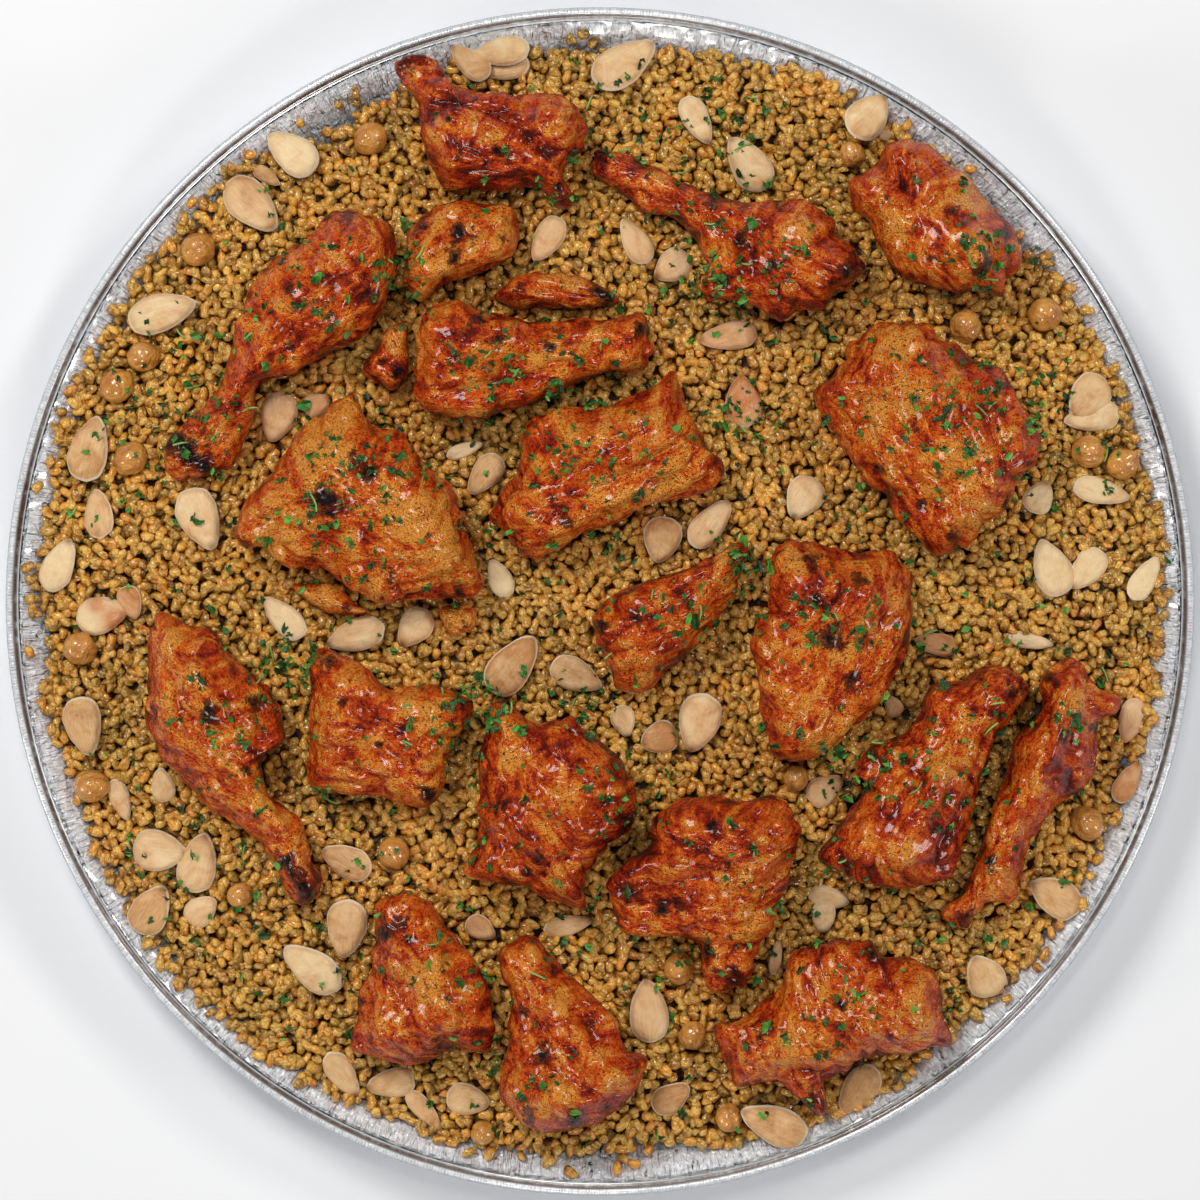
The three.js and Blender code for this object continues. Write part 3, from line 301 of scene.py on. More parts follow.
              (122, -67.5, 2.6)],
    ),
    "chicken_drumstick_right": dict(
        ridge=((158, -34), (126, -102)), rise=(27, 12),
        outline=((151, -24), (157.6, -17.5), (164, -20), (170, -28.5), (176, -32.5), (175.6, -37),
                 (170, -42.7), (169, -52.5), (165.4, -62.7), (156, -69), (148.5, -77.6), (145.4, -88.5),
                 (144.8, -95.6), (140.7, -102), (131, -103), (125, -112), (119, -111), (114, -108),
                 (117, -103), (121, -99.5), (125.5, -92), (129, -81), (132.5, -70.5), (137.6, -56),
                 (141, -45), (148, -38), (149, -31)),
        lobes=[(152, -48, 10, 4), (140, -86, 8, 3), (166, -34, 7, -2)],
        folds=[(155.9, -33.6, 145.8, -67.5, 3, 1.5), (162.7, -47.1, 150.9, -81, 2.6, -1.4)],
        gold=[(145.8, -64.1, 6), (139, -77.6, 5), (161, -33.6, 5), (149.2, -87.8, 4)],
        char=[(155.9, -45.4, 4.5), (132.2, -87.8, 4), (124.1, -107.5, 5), (167.8, -42, 4),
              (152.6, -26.8, 3)],
    ),
    "chicken_leg_left": dict(
        ridge=((-138, -28), (-105, -88)), rise=(31, 15),
        outline=((-150.5, -5), (-144.8, -5), (-137, -8), (-130.5, -9), (-122.7, -18), (-113, -26),
                 (-109, -31), (-106, -39), (-106.5, -47), (-112, -51), (-114, -56), (-112, -64),
                 (-106.4, -69.5), (-101, -74), (-99, -80), (-98.6, -87.5), (-94, -94.6), (-95, -99),
                 (-100, -104), (-105.8, -101.7), (-109, -94.6), (-111.5, -88), (-117, -82),
                 (-125.8, -75.6), (-135.6, -68.5), (-144.8, -59), (-150.5, -52.5), (-154, -42.7),
                 (-155, -36), (-154, -26.8), (-153, -16)),
        lobes=[(-134, -40, 13, 3), (-113, -42, 7, -4), (-99, -96, 6, 4)],
        folds=[(-142.4, -33.6, -111.9, -53.9, 3, -1.4), (-135.6, -13.2, -122, -47.1, 4, 1.2),
               (-118.7, -67.5, -101.7, -81, 3, 1.2)],
        gold=[(-125.4, -47.1, 7), (-142.4, -30.2, 7), (-145.8, -13.2, 6), (-132.2, -33.6, 4),
              (-113.6, -67.5, 4)],
        char=[(-126.1, -9.8, 6), (-122, -15.9, 4), (-130.5, -38.6, 4.6), (-101, -97.3, 8),
              (-106.8, -87.1, 5), (-114.6, -33.6, 5), (-118.7, -57.3, 3)],
    ),
    "chicken_thigh_left": dict(
        ridge=((-82, -43), (-62, -46)), rise=(26, 24), roast=-0.12,
        outline=((-96, -17), (-91, -16), (-85, -19), (-77.6, -23.4), (-71, -28), (-62.7, -27),
                 (-55, -27), (-47, -29.5), (-42.5, -34), (-42.5, -38), (-47, -46), (-51.5, -55),
                 (-54, -64.4), (-57, -70), (-61, -70.5), (-66, -69), (-75, -65.8), (-85, -65.4),
                 (-95, -62.7), (-98.6, -58), (-98, -49.5), (-97.6, -34.6), (-98.6, -27.5)),
        lobes=[(-78, -49, 6, -2), (-90, -28, 8, -3), (-52, -50, 6, -4), (-80, -38, 9, 3)],
        folds=[(-79.7, -38.6, -47.5, -47.1, 2.4, -1.8), (-47.5, -47.1, -54.2, -65.8, 2.4, 1.4),
               (-88.1, -23.4, -61, -33.6, 3, 1.2)],
        gold=[(-78, -48.8, 5), (-95.6, -37.6, 5), (-57.6, -40.3, 5), (-67.8, -30.2, 4),
              (-50.2, -55.6, 4), (-86.4, -60.7, 4)],
        char=[(-73.9, -48.1, 2.2), (-64.4, -53.9, 3), (-86.4, -33.6, 3), (-57.6, -64.1, 3.4),
              (-91.5, -20, 4)],
    ),
    "chicken_thigh_centre": dict(
        ridge=((-20, -58), (-16, -86)), rise=(28, 27), roast=0.12,
        outline=((-38, -34.5), (-34, -33), (-29, -34.5), (-23.7, -39), (-14, -39), (-9, -37.5),
                 (-5, -42.5), (2.5, -48.5), (9, -54.5), (12, -62), (12.2, -70), (11.5, -76), (4, -82),
                 (-1.5, -90), (-4, -98), (-5, -104), (-9, -104.5), (-17, -101.5), (-26.4, -97.5),
                 (-35, -95.5), (-42, -94), (-46.5, -91), (-42.5, -80.7), (-41, -70), (-42, -59),
                 (-42, -51), (-39, -43)),
        lobes=[(-6, -66, 10, 3), (-28, -54, 8, -3), (-28, -76, 8, 3), (-30, -90, 8, -3)],
        folds=[(-33.9, -47.1, 0, -84.4, 3, 1.5), (-20.3, -43.7, 6.8, -74.2, 2.6, 1.3),
               (-37.3, -64.1, -10.2, -94.6, 2.6, 1.3), (-27.1, -40.3, 0, -67.5, 2, -1.2)],
        gold=[(-30.5, -53.9, 5), (-8.5, -64.1, 5), (-18.6, -77.6, 4), (0, -53.9, 4), (-13.6, -94.6, 4)],
        char=[(-20.3, -87.8, 3.5), (-25.4, -91.2, 3), (10.2, -74.2, 6), (-32.2, -67.5, 3),
              (-3.4, -47.1, 3)],
    ),
    "chicken_crisp_thigh": dict(
        ridge=((36, -84), (41, -112)), rise=(31, 22), roast=0.16,
        outline=((17, -73), (21, -69), (29, -65), (37, -64), (45, -65.5), (50.5, -66.5), (56.6, -65),
                 (61.4, -67), (68, -76), (67, -82), (65, -87.5), (64.5, -94.6), (61, -102),
                 (59, -109.5), (55.5, -115), (52.5, -120), (52, -126), (49.5, -131.5), (43, -133),
                 (36, -132), (34, -125), (31, -116), (24.7, -113.5), (17.3, -113.5), (10, -112.5),
                 (4, -108), (1.5, -100), (3, -94), (9, -87), (15, -83.5), (16.5, -78)),
        lobes=[(26, -82, 7, 3), (17, -100, 9, -7), (52, -84, 10, 4), (44, -124, 8, -4), (36, -92, 6, -3)],
        folds=[(17, -80.3, 35.6, -81.7, 2.4, -2.4), (40, -86.1, 45.8, -92.9, 1.6, -2.4),
               (0.3, -101.4, 18.3, -94.6, 3, 2), (40.7, -121.7, 54.2, -126.8, 3, 1.6),
               (49.2, -94.6, 57.6, -111.5, 3, 1.4)],
        gold=[(44.1, -91.2, 6), (55.9, -84.4, 5), (30.5, -75.9, 4), (50.9, -104.8, 5)],
        char=[(37.3, -74.9, 2.6), (27.1, -101.4, 4.5), (20.3, -103.1, 4), (45.8, -128.5, 6),
              (8.5, -98, 5), (3.4, -109.8, 4), (35.6, -118.3, 4), (42.4, -87.1, 2.2)],
    ),
    "chicken_thigh_bottom_left": dict(
        ridge=((-62, -118), (-58, -140)), rise=(23, 24),
        outline=((-74, -101), (-69, -98.5), (-63.4, -97.5), (-57.6, -100.5), (-53, -106),
                 (-48.5, -111.5), (-45, -118), (-40.5, -124.5), (-37, -131.5), (-36, -138.7),
                 (-36, -148), (-37.5, -152.5), (-41, -153), (-50, -152.3), (-54, -155), (-58.6, -158),
                 (-66.8, -157.5), (-75, -155.5), (-83, -153.5), (-85, -150), (-83, -138.7),
                 (-81, -131.5), (-78, -124), (-77, -114), (-76, -106)),
        lobes=[(-68, -132, 7, -3), (-52, -134, 9, 3), (-72, -145, 8, 3)],
        folds=[(-76.3, -121.7, -64.4, -137, 2.6, -2), (-57.6, -114.9, -47.5, -135.3, 4, 1.4)],
        gold=[(-50.9, -133.6, 8), (-71.2, -142, 7), (-57.6, -123.4, 6), (-44.1, -114.9, 4)],
        char=[(-73.9, -111.5, 5), (-67.8, -106.4, 4), (-81.4, -135.3, 3), (-54.2, -148.8, 3)],
    ),
    "chicken_thigh_bottom": dict(
        ridge=((-23, -130), (-10, -164)), rise=(19, 30),
        outline=((-31, -116), (-27, -113), (-22, -113.5), (-18, -118), (-11.5, -123.5), (-5.4, -130),
                 (0.3, -135.5), (6, -140), (7.8, -146), (9.5, -151.5), (15, -154.5), (15.6, -159.7),
                 (13, -164.8), (9, -171), (5.4, -174.5), (-2.7, -179), (-12.5, -181), (-20, -181),
                 (-27, -178), (-32.5, -173), (-35.5, -167.5), (-34, -159), (-31.5, -150), (-31.5, -142),
                 (-31, -134), (-34, -125), (-33.5, -120)),
        lobes=[(-17, -151, 8, -4), (-3, -146, 6, -3), (-14, -172, 10, 3), (-22, -134, 8, 3)],
        folds=[(-13.6, -135.3, 3.4, -155.6, 3, 1.6), (-20.3, -155.6, 0, -165.8, 3, -2),
               (-23.7, -131.9, -17, -152.2, 3, -1.4), (-8.5, -138.7, 0, -145.4, 2.4, -2.4)],
        gold=[(-15.3, -135.3, 5), (-18.6, -170.9, 5), (0, -152.2, 4), (-27.1, -121.7, 4),
              (-10.2, -164.1, 4)],
        char=[(-18.6, -152.2, 5), (-2.7, -143.7, 3), (3.4, -169.2, 5), (-27.1, -138.7, 3.6),
              (-23.7, -172.6, 4), (-8.5, -175.9, 5)],
    ),
    "chicken_breast_bottom_right": dict(
        ridge=((66, -144), (98, -134)), rise=(24, 27), roast=0.08,
        outline=((37, -146), (39, -143), (45, -143), (51, -139.5), (56, -134.5), (60.5, -131.5),
                 (65, -119), (72, -117), (81, -114), (91, -114), (95, -119), (101, -119.5),
                 (111, -122.5), (116, -128), (117.6, -137.6), (119, -149), (115, -151), (106, -153.6),
                 (97, -155), (88, -157), (82, -160), (76.5, -163.5), (77, -172), (73, -174.5),
                 (66, -169), (61, -165), (49, -164.5), (43, -161), (40, -154.6)),
        lobes=[(92, -122, 7, -4), (74, -150, 10, 3), (104, -136, 9, 3), (70, -166, 7, -4)],
        folds=[(94.2, -121.7, 101.7, -138.7, 2.4, -2.2), (50.9, -162.4, 88.1, -155.6, 3, -1.6),
               (74.6, -135.3, 101.7, -148.8, 4, 1.4)],
        gold=[(71.2, -148.8, 8), (103.4, -135.3, 7), (61, -155.6, 6), (84.8, -138.7, 6),
              (110.2, -145.4, 4)],
        char=[(98, -147.8, 3), (80.7, -135.6, 3), (71.9, -169.2, 6), (91.5, -118.3, 4),
              (111.9, -121.7, 4), (54.2, -145.4, 3)],
    ),
    "chicken_breast_left": dict(
        ridge=((-96, 36), (-66, 30)), rise=(29, 34), roast=-0.28,
        outline=((-85, 71), (-81.5, 69), (-76, 60), (-67, 58.5), (-63, 53.5), (-57.5, 46), (-49, 38),
                 (-46.5, 30.5), (-44.5, 22), (-41.5, 13), (-38.5, 6), (-40, 3), (-46, 1.5),
                 (-56.6, 1.5), (-70, -1.5), (-74, -1), (-84, 4), (-92, 8.8), (-100.7, 9.8), (-107, 11),
                 (-114, 17.5), (-120.5, 17.5), (-123, 22), (-120.7, 32), (-115, 40.7), (-108, 50),
                 (-101, 59), (-93.6, 65)),
        lobes=[(-70, 10, 8, -3), (-112, 24, 9, -4), (-78, 48, 12, 3), (-58, 14, 10, 3)],
        folds=[(-69.5, 8.8, -54.2, 13.9, 3, -1.6), (-108.5, 20.7, -88.1, 10.5, 4, 1.2),
               (-61, 34.2, -44.1, 13.9, 4, 1.2)],
        gold=[(-91.5, 51.2, 8), (-101.7, 27.5, 8), (-67.8, 27.5, 9), (-54.2, 13.9, 8), (-84.8, 13.9, 7),
              (-50.9, 44.4, 6), (-111.9, 20.7, 6), (-74.6, 3.7, 4)],
        char=[(-93.2, 34.2, 5.5), (-80.3, 47.8, 4.5), (-89.8, 30.8, 5), (-69.5, 8.8, 2.6),
              (-120.3, 19, 5), (-47.5, 3.7, 3), (-76.3, 42.7, 3.6)],
    ),
    "chicken_scrap_under_breast": dict(
        ridge=((-98, 3), (-84, -3)), rise=(9, 8), roast=-0.26,
        outline=((-105, 6), (-97, 6.5), (-91, 5.5), (-84, 0.5), (-78, -3), (-84, -5), (-93, -4.5),
                 (-101, 0)),
        gold=[(-94.9, 0.3, 3)],
        char=[(-86.4, -2.4, 2.5)],
    ),
    "chicken_scrap_below_breast": dict(
        ridge=((-51, -4), (-47, -6)), rise=(9, 8), roast=-0.5,
        outline=((-53, -1), (-46, -0.5), (-42, -2), (-42, -7), (-46.5, -12), (-51, -11.5), (-54.5, -6)),
        gold=[(-49.2, -1.4, 3)],
        char=[(-46.8, -6.4, 3)],
    ),
}

# Millimetres of skin to one unit of its sheet of wrinkles, which runs along a piece's first fold.
SKIN_SHEET = 40

# Almond halves: x, y, heading of the tip in degrees, length and width.
ALMONDS = [
    (8.5, 183.5, 35, 25, 14), (33, 164, -64, 18.5, 9.2), (50.5, 149, 125, 21.5, 13),
    (91.5, 165.5, 50, 18, 13.5), (-118.5, 135, -46, 24, 14), (-105, 153, 142, 20.7, 12.6),
    (-149, 98.5, 15, 24.5, 13), (-174, 52, 75, 23, 13.4), (-184.5, 12.5, 65, 19.5, 11),
    (-136, 28, -66, 22.5, 13.8), (-107.5, -5.5, 135, 19, 9.5), (-83, -11.5, 198, 20.5, 11),
    (-63, -9, 235, 15, 11), (-109.5, 62.5, 255, 17.5, 12), (-176, -42.5, -78, 20.8, 13),
    (-153, -105, 58, 18.6, 13), (-98, -124.5, 143, 23.8, 13), (-86, -111, -97, 20.5, 13.5),
    (-86, -88, 155, 18.6, 10.8), (16.5, -139, 96, 22, 13), (59, -178, 155, 24.5, 13.2),
    (88, -166.5, 235, 20, 11.5), (131, -127.5, 120, 15.6, 13), (155, -100.5, 150, 20.2, 12.5),
    (186, 8, 57, 17.3, 8.4), (171, 37.5, -12, 20.3, 8.8), (43.5, 90, 188, 20, 9.5),
    (12, 122.5, 119, 17.5, 9), (-18, 123, 239, 17.5, 9.5), (-39, 43, 232, 16.5, 9.5),
    (37.5, 26.5, 50, 20, 10.5), (-29.5, -21.5, 52, 24, 13.8), (33.5, -41, -105, 20.3, 14),
    (21, 21, 260, 16, 12.5),
]

# Almond halves sunk in the grain, by the same columns.
SUNK_ALMONDS = [
    (-44.5, 184, 139, 17, 9), (-34, 187.5, 188, 20, 10), (-33, 182.5, 188, 18, 9),
    (-171, 30, 95, 17, 10), (-169.5, -4.4, 15, 19, 12.5), (-163.7, -67.8, -70, 15, 7),
    (-150, -85, -5, 19, 14), (-137, -89, 75, 21, 13), (-136, -105.5, 40, 13, 10),
    (-88, -161.5, -57, 18, 9.5), (-71.5, -164.5, 190, 17, 10), (-60, -174, -50, 18, 6.5),
    (-45, -170, -10, 15, 11), (-11, -110.2, 12, 17, 7), (24.4, -169.2, 35, 15, 10),
    (78, -101, -12, 14, 8), (181.7, -40.7, 250, 16, 9.5), (180, -61.7, 60, 16, 8),
    (154, 11.5, 112, 20.5, 13), (166, 11, 230, 17, 10.5), (149.8, 35.6, 60, 12, 10),
    (166.5, 69.5, 230, 18, 13.5), (168, 63, 190, 20, 10), (114.2, -14.5, 170, 15, 7.5),
    (147, -13.5, -10, 16, 5.5), (76.6, -63.8, 35, 14, 10), (69, 35, 240, 16, 12.5),
    (48.5, 68, 95, 18, 12), (24.5, 114, 215, 14, 11), (-34, 8, 115, 14, 8), (-8, -25, -25, 19, 10.8),
    (20, -46.4, 200, 13, 11),
]

# Chickpeas: x, y and radius.
CHICKPEAS = [
    (-137.4, 120.2, 6.1), (-156, 83.5, 5.6), (-165, 73.6, 6.1), (-160, 48.8, 6.1), (-177.6, -16, 6),
    (-173.9, -63, 6.1), (-78.3, 158, 6), (-70, -85.3, 5.6), (-122.7, -100.3, 4.6), (27, -125, 5.6),
    (44, -176.5, 5), (-40, -181.5, 4.6), (166.8, 51.2, 6), (178.2, 47, 5.8), (151.9, 98, 6.2),
    (124.5, 94, 5.8), (86, 152.5, 4.6), (166.5, -75.8, 6), (66.5, -60.2, 4.6), (31.5, -148, 5),
]

# Broken bits of almond, strewn on the grain, by the same columns.
ALMOND_BITS = [
    (-160, -0.3, -70, 12, 8), (-96.5, 67, 25, 10, 8), (-149, -62.5, 100, 12, 8), (-40.5, -111, -30, 11, 8),
    (60, -121, 80, 13, 4), (76, -107.5, -92, 11, 8), (99.5, -35.5, 120, 8, 6), (8, -40.5, -75, 11, 8),
    (97, 160.5, 100, 6, 4.5), (-113.8, 145.3, -34, 11, 5), (-46, 51.5, 20, 13, 5),
]

# Where chopped parsley lies thickest: x, y, reach and number of flakes.
PARSLEY_DRIFTS = [
    (-70, 108, 9, 14), (-12, 66, 30, 34), (42, 109, 16, 22), (48, 62, 12, 20), (48, 10, 14, 16),
    (-106, -22, 14, 22), (-38, -32, 14, 18), (-2, -34, 8, 10), (87, -57, 14, 18), (-82, 36, 26, 46),
    (120, 62, 22, 38), (124, 118, 16, 18), (-92, 104, 14, 14), (-52, -44, 16, 12), (4, -68, 18, 12),
    (78, -10, 20, 16), (112, -62, 18, 14), (-46, -128, 16, 8), (84, -136, 20, 12), (-140, 60, 30, 26),
    (150, 60, 20, 16), (-140, -110, 26, 14), (30, 150, 30, 22), (-6, 44, 16, 12), (60, 116, 14, 16),
    (-40, 84, 14, 12), (30, -6, 14, 10), (158, -44, 12, 8), (-130, -44, 16, 10),
]

# Flakes that are strewn for each one of the table above, how far out they may lie, flakes strewn anywhere
# within a reach, and single places on the rim.
DRIFT_SHARE = 1.5
DRIFT_REACH = 188
LOOSE_FLAKES = 640
LOOSE_REACH = 186
RIM_FLAKES = [
    (194.6, 13.2), (194.4, 5.5), (-131, 145.5), (-122, 149), (-4, -192.5), (149, 119), (-193, -12),
]

# Where the roasting juices stain the grain orange: x, y and reach.
SAUCE_POOLS = [
    (48, 82, 16), (185, -58, 15), (-172, -88, 16), (-14, 156, 12), (20, 96, 12), (-30, 100, 10),
    (38, -68, 12), (58, -58, 10), (-150, 4, 9), (-60, -96, 10), (-96, 78, 10), (66, 60, 12), (172, -40, 12),
    (-118, 60, 10), (-46, 137, 9), (-50, 103, 9), (148, -60, 9), (10, -120, 10),
    (112, -20, 10), (-66, 66, 8), (88, 96, 12),
]

# Patches of orange juice on two almonds: x, y and reach.
GLAZED = [(-165, -6.5, 4), (-172, -1, 2.5), (49, 71, 4), (46, 64, 2.5)]

# Soft boxes: name, azimuth from +X and elevation in degrees, size in metres, and share of the light.
SOFT_BOXES = [
    ("key", 128, 52, 0.5, 0.4), ("right_back", 38, 45, 0.35, 0.15), ("right", -22, 27, 0.35, 0.09),
    ("front", -95, 42, 0.35, 0.14), ("left", 200, 27, 0.35, 0.09), ("above", 100, 80, 0.22, 0.13),
]

# The soft boxes' distance from the middle in metres, and their colour.
LIGHT_DISTANCE = 1.7
LIGHT_COLOUR = (1, 0.97, 0.93)

# The camera: millimetres of sensor, metres that it sees, and metres that it stands off towards +Y.
SENSOR = 36
CLIP_END = 20
CAMERA_SHIFT = 0.0005

# The pale floor: half its side and its level, in metres.
FLOOR_HALF = 3.0
FLOOR_LEVEL = -0.0005

# Painted shade on a kernel's underside, as shares of its own red, green and blue; the brightest that any
# channel may be; and how far a kernel's top is painted towards the highlight colour, as a painted highlight.
UNDERSIDE_SHADE = (0.44, 0.22, 0.06)
BRIGHTEST = 0.84
TOP_HIGHLIGHT = 0.34

# Kernels: pieces that they are dealt out to, kinds, rings and points on each; the spread of their length,
# width and thickness; their lean in radians; their gap to the foil; and how common each colour is.
KERNEL_PIECES = 5
KERNEL_KINDS = 16
KERNEL_RINGS = 4
KERNEL_SIDES = 7
KERNEL_SPREAD = (0.6, 0.35, 0.25)
KERNEL_TILT = 0.35
FOIL_GAP = 0.15
PALETTE_SHARES = (0.38, 0.24, 0.2, 0.12, 0.06)

# Layers of kernels: widening of the spacing, depth, height of clumps, and how far under chicken they reach.
KERNEL_LAYERS = ((1, 1.2, 0.9, -2.5), (1.22, 3.3, 0.5, -1.0))

# Where kernels lie loose on the wall: radii all round, and drifts by number, angle, spread and radii.
STRAY_RADII = (190, 195)
STRAY_DRIFTS = ((26, pi - 0.02, 0.09, 187, 196), (9, -1.64, 0.02, 183, 192))

# How deep the grain gives way under almonds, sunk almonds, bits and chickpeas.
NUT_DENTS = (1.4, 3.4, 2.2, 3.0)

# An almond half: points round it, shares of the way out of the rings on its face and on its back, and the
# least and most that it is toasted.
ALMOND_SIDES = 48
ALMOND_FACE = (0.16, 0.34, 0.5, 0.64, 0.76, 0.85, 0.91, 0.955, 0.985, 1.0)
ALMOND_BACK = (0.94, 0.8, 0.6, 0.35, 0.15)
TOAST = (-0.44, 0.16)

# A chickpea: rings, points on each, and its lean.
PEA_ROWS, PEA_SIDES = 13, 22
PEA_TILT = 0.7

# Parsley: kinds of leaf, points of its star, lean, how common each green is, and a stem's radius and lean.
LEAF_KINDS = 12
LEAF_POINTS = 8
LEAF_TILT = 0.4
LEAF_SHARES = (0.35, 0.45, 0.2)
STEM_RADIUS = 0.35
STEM_TILT = 0.15

# The skyline that parsley falls on: a cell's side, and cells along a side of the grid.
SKY_CELL = 0.6
SKY_CELLS = int(2 * RIM_RADIUS / SKY_CELL) + 2


# Numbers: noise, curves and distances over whole arrays. The factors mix a corner's numbers and the seed.
LATTICE_FACTORS = np.array([374761393, 668265263, 1274126177])
SEED_FACTOR = 974711
MIX_FACTOR = 1103515245


def smoothstep(low, high, value):
    """0 below low, 1 above high, and 3t^2 - 2t^3 between them."""
    part = np.clip((value - low) / (high - low), 0, 1)
    return part * part * (3 - 2 * part)


def plateau(zone, value):
    """0 outside a zone of four bounds, 1 in its middle, and a smooth step up and down at its two ends."""
    low, full, fade, high = zone
    return smoothstep(low, full, value) * (1 - smoothstep(fade, high, value))


def noise(points, size, seed):
    """Random numbers from -1 to 1 at the corners of a cubic lattice, blended with a smooth step between."""
    cell = np.asarray(points, float) / size
    low = np.floor(cell).astype(np.int64)
    part = cell - low
    blend = part * part * part * (part * (part * 6 - 15) + 10)
    total = np.zeros(len(cell))
    for corner in np.ndindex(2, 2, 2):
        mixed = ((low + corner) @ LATTICE_FACTORS + seed * SEED_FACTOR) % 2**32
        mixed = ((mixed ^ (mixed >> 13)) * MIX_FACTOR) % 2**32
        value = ((mixed ^ (mixed >> 16)) & 0xFFFFFF) / 0x7FFFFF - 1
        total += value * np.prod(np.where(corner, blend, 1 - blend), axis=1)
    return total


def rough_noise(points, size, seed, octaves):
    """Noise whose size and height halve with each octave."""
    return sum(noise(points, size / 2**k, seed + k) / 2**k for k in range(octaves))


def creased_noise(points, size, seed):
    """Noise folded at nought, so that it has sharp creases: 0 in a crease and up to 1 between them."""
    return np.abs(noise(points, size, seed)) ** 0.7


def flat(xy):
    """Points of the ground plan, at height nought."""
    return np.column_stack([xy, np.zeros(len(xy))])


def around(radius, angle):
    """Points of the ground plan at a radius and an angle."""
    return np.column_stack([radius * np.cos(angle), radius * np.sin(angle)])


def spots(xy, places):
    """Sum of round soft spots, each exp(-(distance / reach)^2)."""
    total = np.zeros(len(xy))
    for x, y, reach in places:
        total += np.exp(-(((xy[:, 0] - x) ** 2 + (xy[:, 1] - y) ** 2) / reach**2))
    return total


def along_segment(xy, start, end):
    """The share of the way along a segment of each point's nearest place on it, and the distance to it."""
    start = np.asarray(start, float)
    run = np.asarray(end, float) - start
    share = np.clip(((xy - start) @ run) / (run @ run), 0, 1)
    return share, np.linalg.norm(xy - start - share[:, None] * run, axis=1)


def closed_curve(corners, count, cuts=24):
    """A closed curve through the corners, each span a uniform Catmull-Rom cubic, cut into even steps."""
    here = np.asarray(corners, float)
    before, after, beyond = (np.roll(here, shift, axis=0) for shift in (1, -1, -2))
    t = np.linspace(0, 1, cuts, endpoint=False)[None, :, None]
    here, before, after, beyond = (part[:, None, :] for part in (here, before, after, beyond))
    fine = 0.5 * (
        2 * here + (after - before) * t + (2 * before - 5 * here + 4 * after - beyond) * t**2
        + (3 * here - before - 3 * after + beyond) * t**3
    )
    fine = fine.reshape(-1, 2)
    fine = np.vstack([fine, fine[:1]])
    length = np.concatenate([[0], np.cumsum(np.linalg.norm(np.diff(fine, axis=0), axis=1))])
    steps = np.linspace(0, length[-1], count, endpoint=False)
    return np.stack([np.interp(steps, length, fine[:, axis]) for axis in (0, 1)], axis=1)


def outline_distance(xy, corners):
    """Distance from each point to a closed outline, below nought inside it."""
    nearest = np.full(len(xy), np.inf)
    inside = np.zeros(len(xy), bool)
    for (ax, ay), (bx, by) in zip(corners, np.roll(corners, -1, axis=0)):
        nearest = np.minimum(nearest, along_segment(xy, (ax, ay), (bx, by))[1])
        if ay != by:
            crossing = (ay > xy[:, 1]) != (by > xy[:, 1])
            inside ^= crossing & (xy[:, 0] < (bx - ax) * (xy[:, 1] - ay) / (by - ay) + ax)
    return np.where(inside, -nearest, nearest)


def chicken_distance(xy):
    """Distance from each point to the nearest chicken outline, below nought under a piece.

    Only points within a piece's own size of its middle are measured to it; the rest count as far off.
    """
    nearest = np.full(len(xy), 1e9)
    for piece in CHICKEN.values():
        corners = np.asarray(piece["outline"], float)
        middle, reach = corners.mean(0), np.ptp(corners, axis=0).max()
        near = np.abs(xy - middle).max(axis=1) < reach
        nearest[near] = np.minimum(nearest[near], outline_distance(xy[near], corners))
    return nearest


def turned(count, tilt, draw):
    """Rotation matrices: any heading about Z, after a tilt about X and Y drawn from a normal law."""
    heading = draw.uniform(0, 2 * pi, count)
    lean_x, lean_y = draw.normal(0, tilt, (2, count))

    def about(axis, angle):
        """The plane of the two other axes turns by the angle."""
        spin = np.tile(np.eye(3), (count, 1, 1))
        first, second = (axis + 1) % 3, (axis + 2) % 3
        spin[:, first, first] = spin[:, second, second] = np.cos(angle)
        spin[:, second, first] = np.sin(angle)
        spin[:, first, second] = -np.sin(angle)
        return spin

    return about(2, heading) @ about(0, lean_x) @ about(1, lean_y)


def tumbled(bodies, tilt, draw):
    """Copies of shapes, by copy and point, each turned its own way."""
    return np.einsum("nij,nkj->nki", turned(len(bodies), tilt, draw), bodies)


# Heights of the tray and of the bed.
def tray_height(radius):
    """Height of the tray's upper face: straight lines between the corners of its profile."""
    return np.interp(radius, TRAY_RADII, TRAY_HEIGHTS, right=0)


def tray_under(points):
    """Height of the tray's upper face under each point."""
    return tray_height(np.hypot(points[..., 0], points[..., 1]))


def bed_height(x, y):
    """Height of the bare bed: a dome, crown * (1 - (r / R)^fall), and two crossing swells that fade out."""
    radius = np.hypot(x, y)
    dome = BED_CROWN * (1 - (radius / BED_RADIUS) ** BED_FALL)
    tall, low = SWELL_HEIGHTS
    swell = tall * np.sin(x / 38 + 0.7) * np.cos(y / 45 - 0.4) + low * np.sin((x + y) / 31)
    return BED_EDGE_HEIGHT + dome + swell * (1 - smoothstep(SWELL_FADE, BED_RADIUS, radius))


def rest_height(x, y):
    """What carries a piece: the bed, or the tray's wall where that is higher."""
    return np.maximum(bed_height(x, y), tray_height(np.hypot(x, y)))


def edge_radius(angle):
    """Radius of the bed's ragged edge: sine waves round the tray, less exp(-(turn / reach)^2) in bays."""
    radius = EDGE_RADIUS + sum(height * np.sin(number * angle + turn) for height, number, turn in EDGE_WAVES)
    for depth, middle, reach in EDGE_BAYS:
        turn = np.arctan2(np.sin(angle - middle), np.cos(angle - middle))
        radius = radius - depth * np.exp(-((turn / reach) ** 2))
    return radius


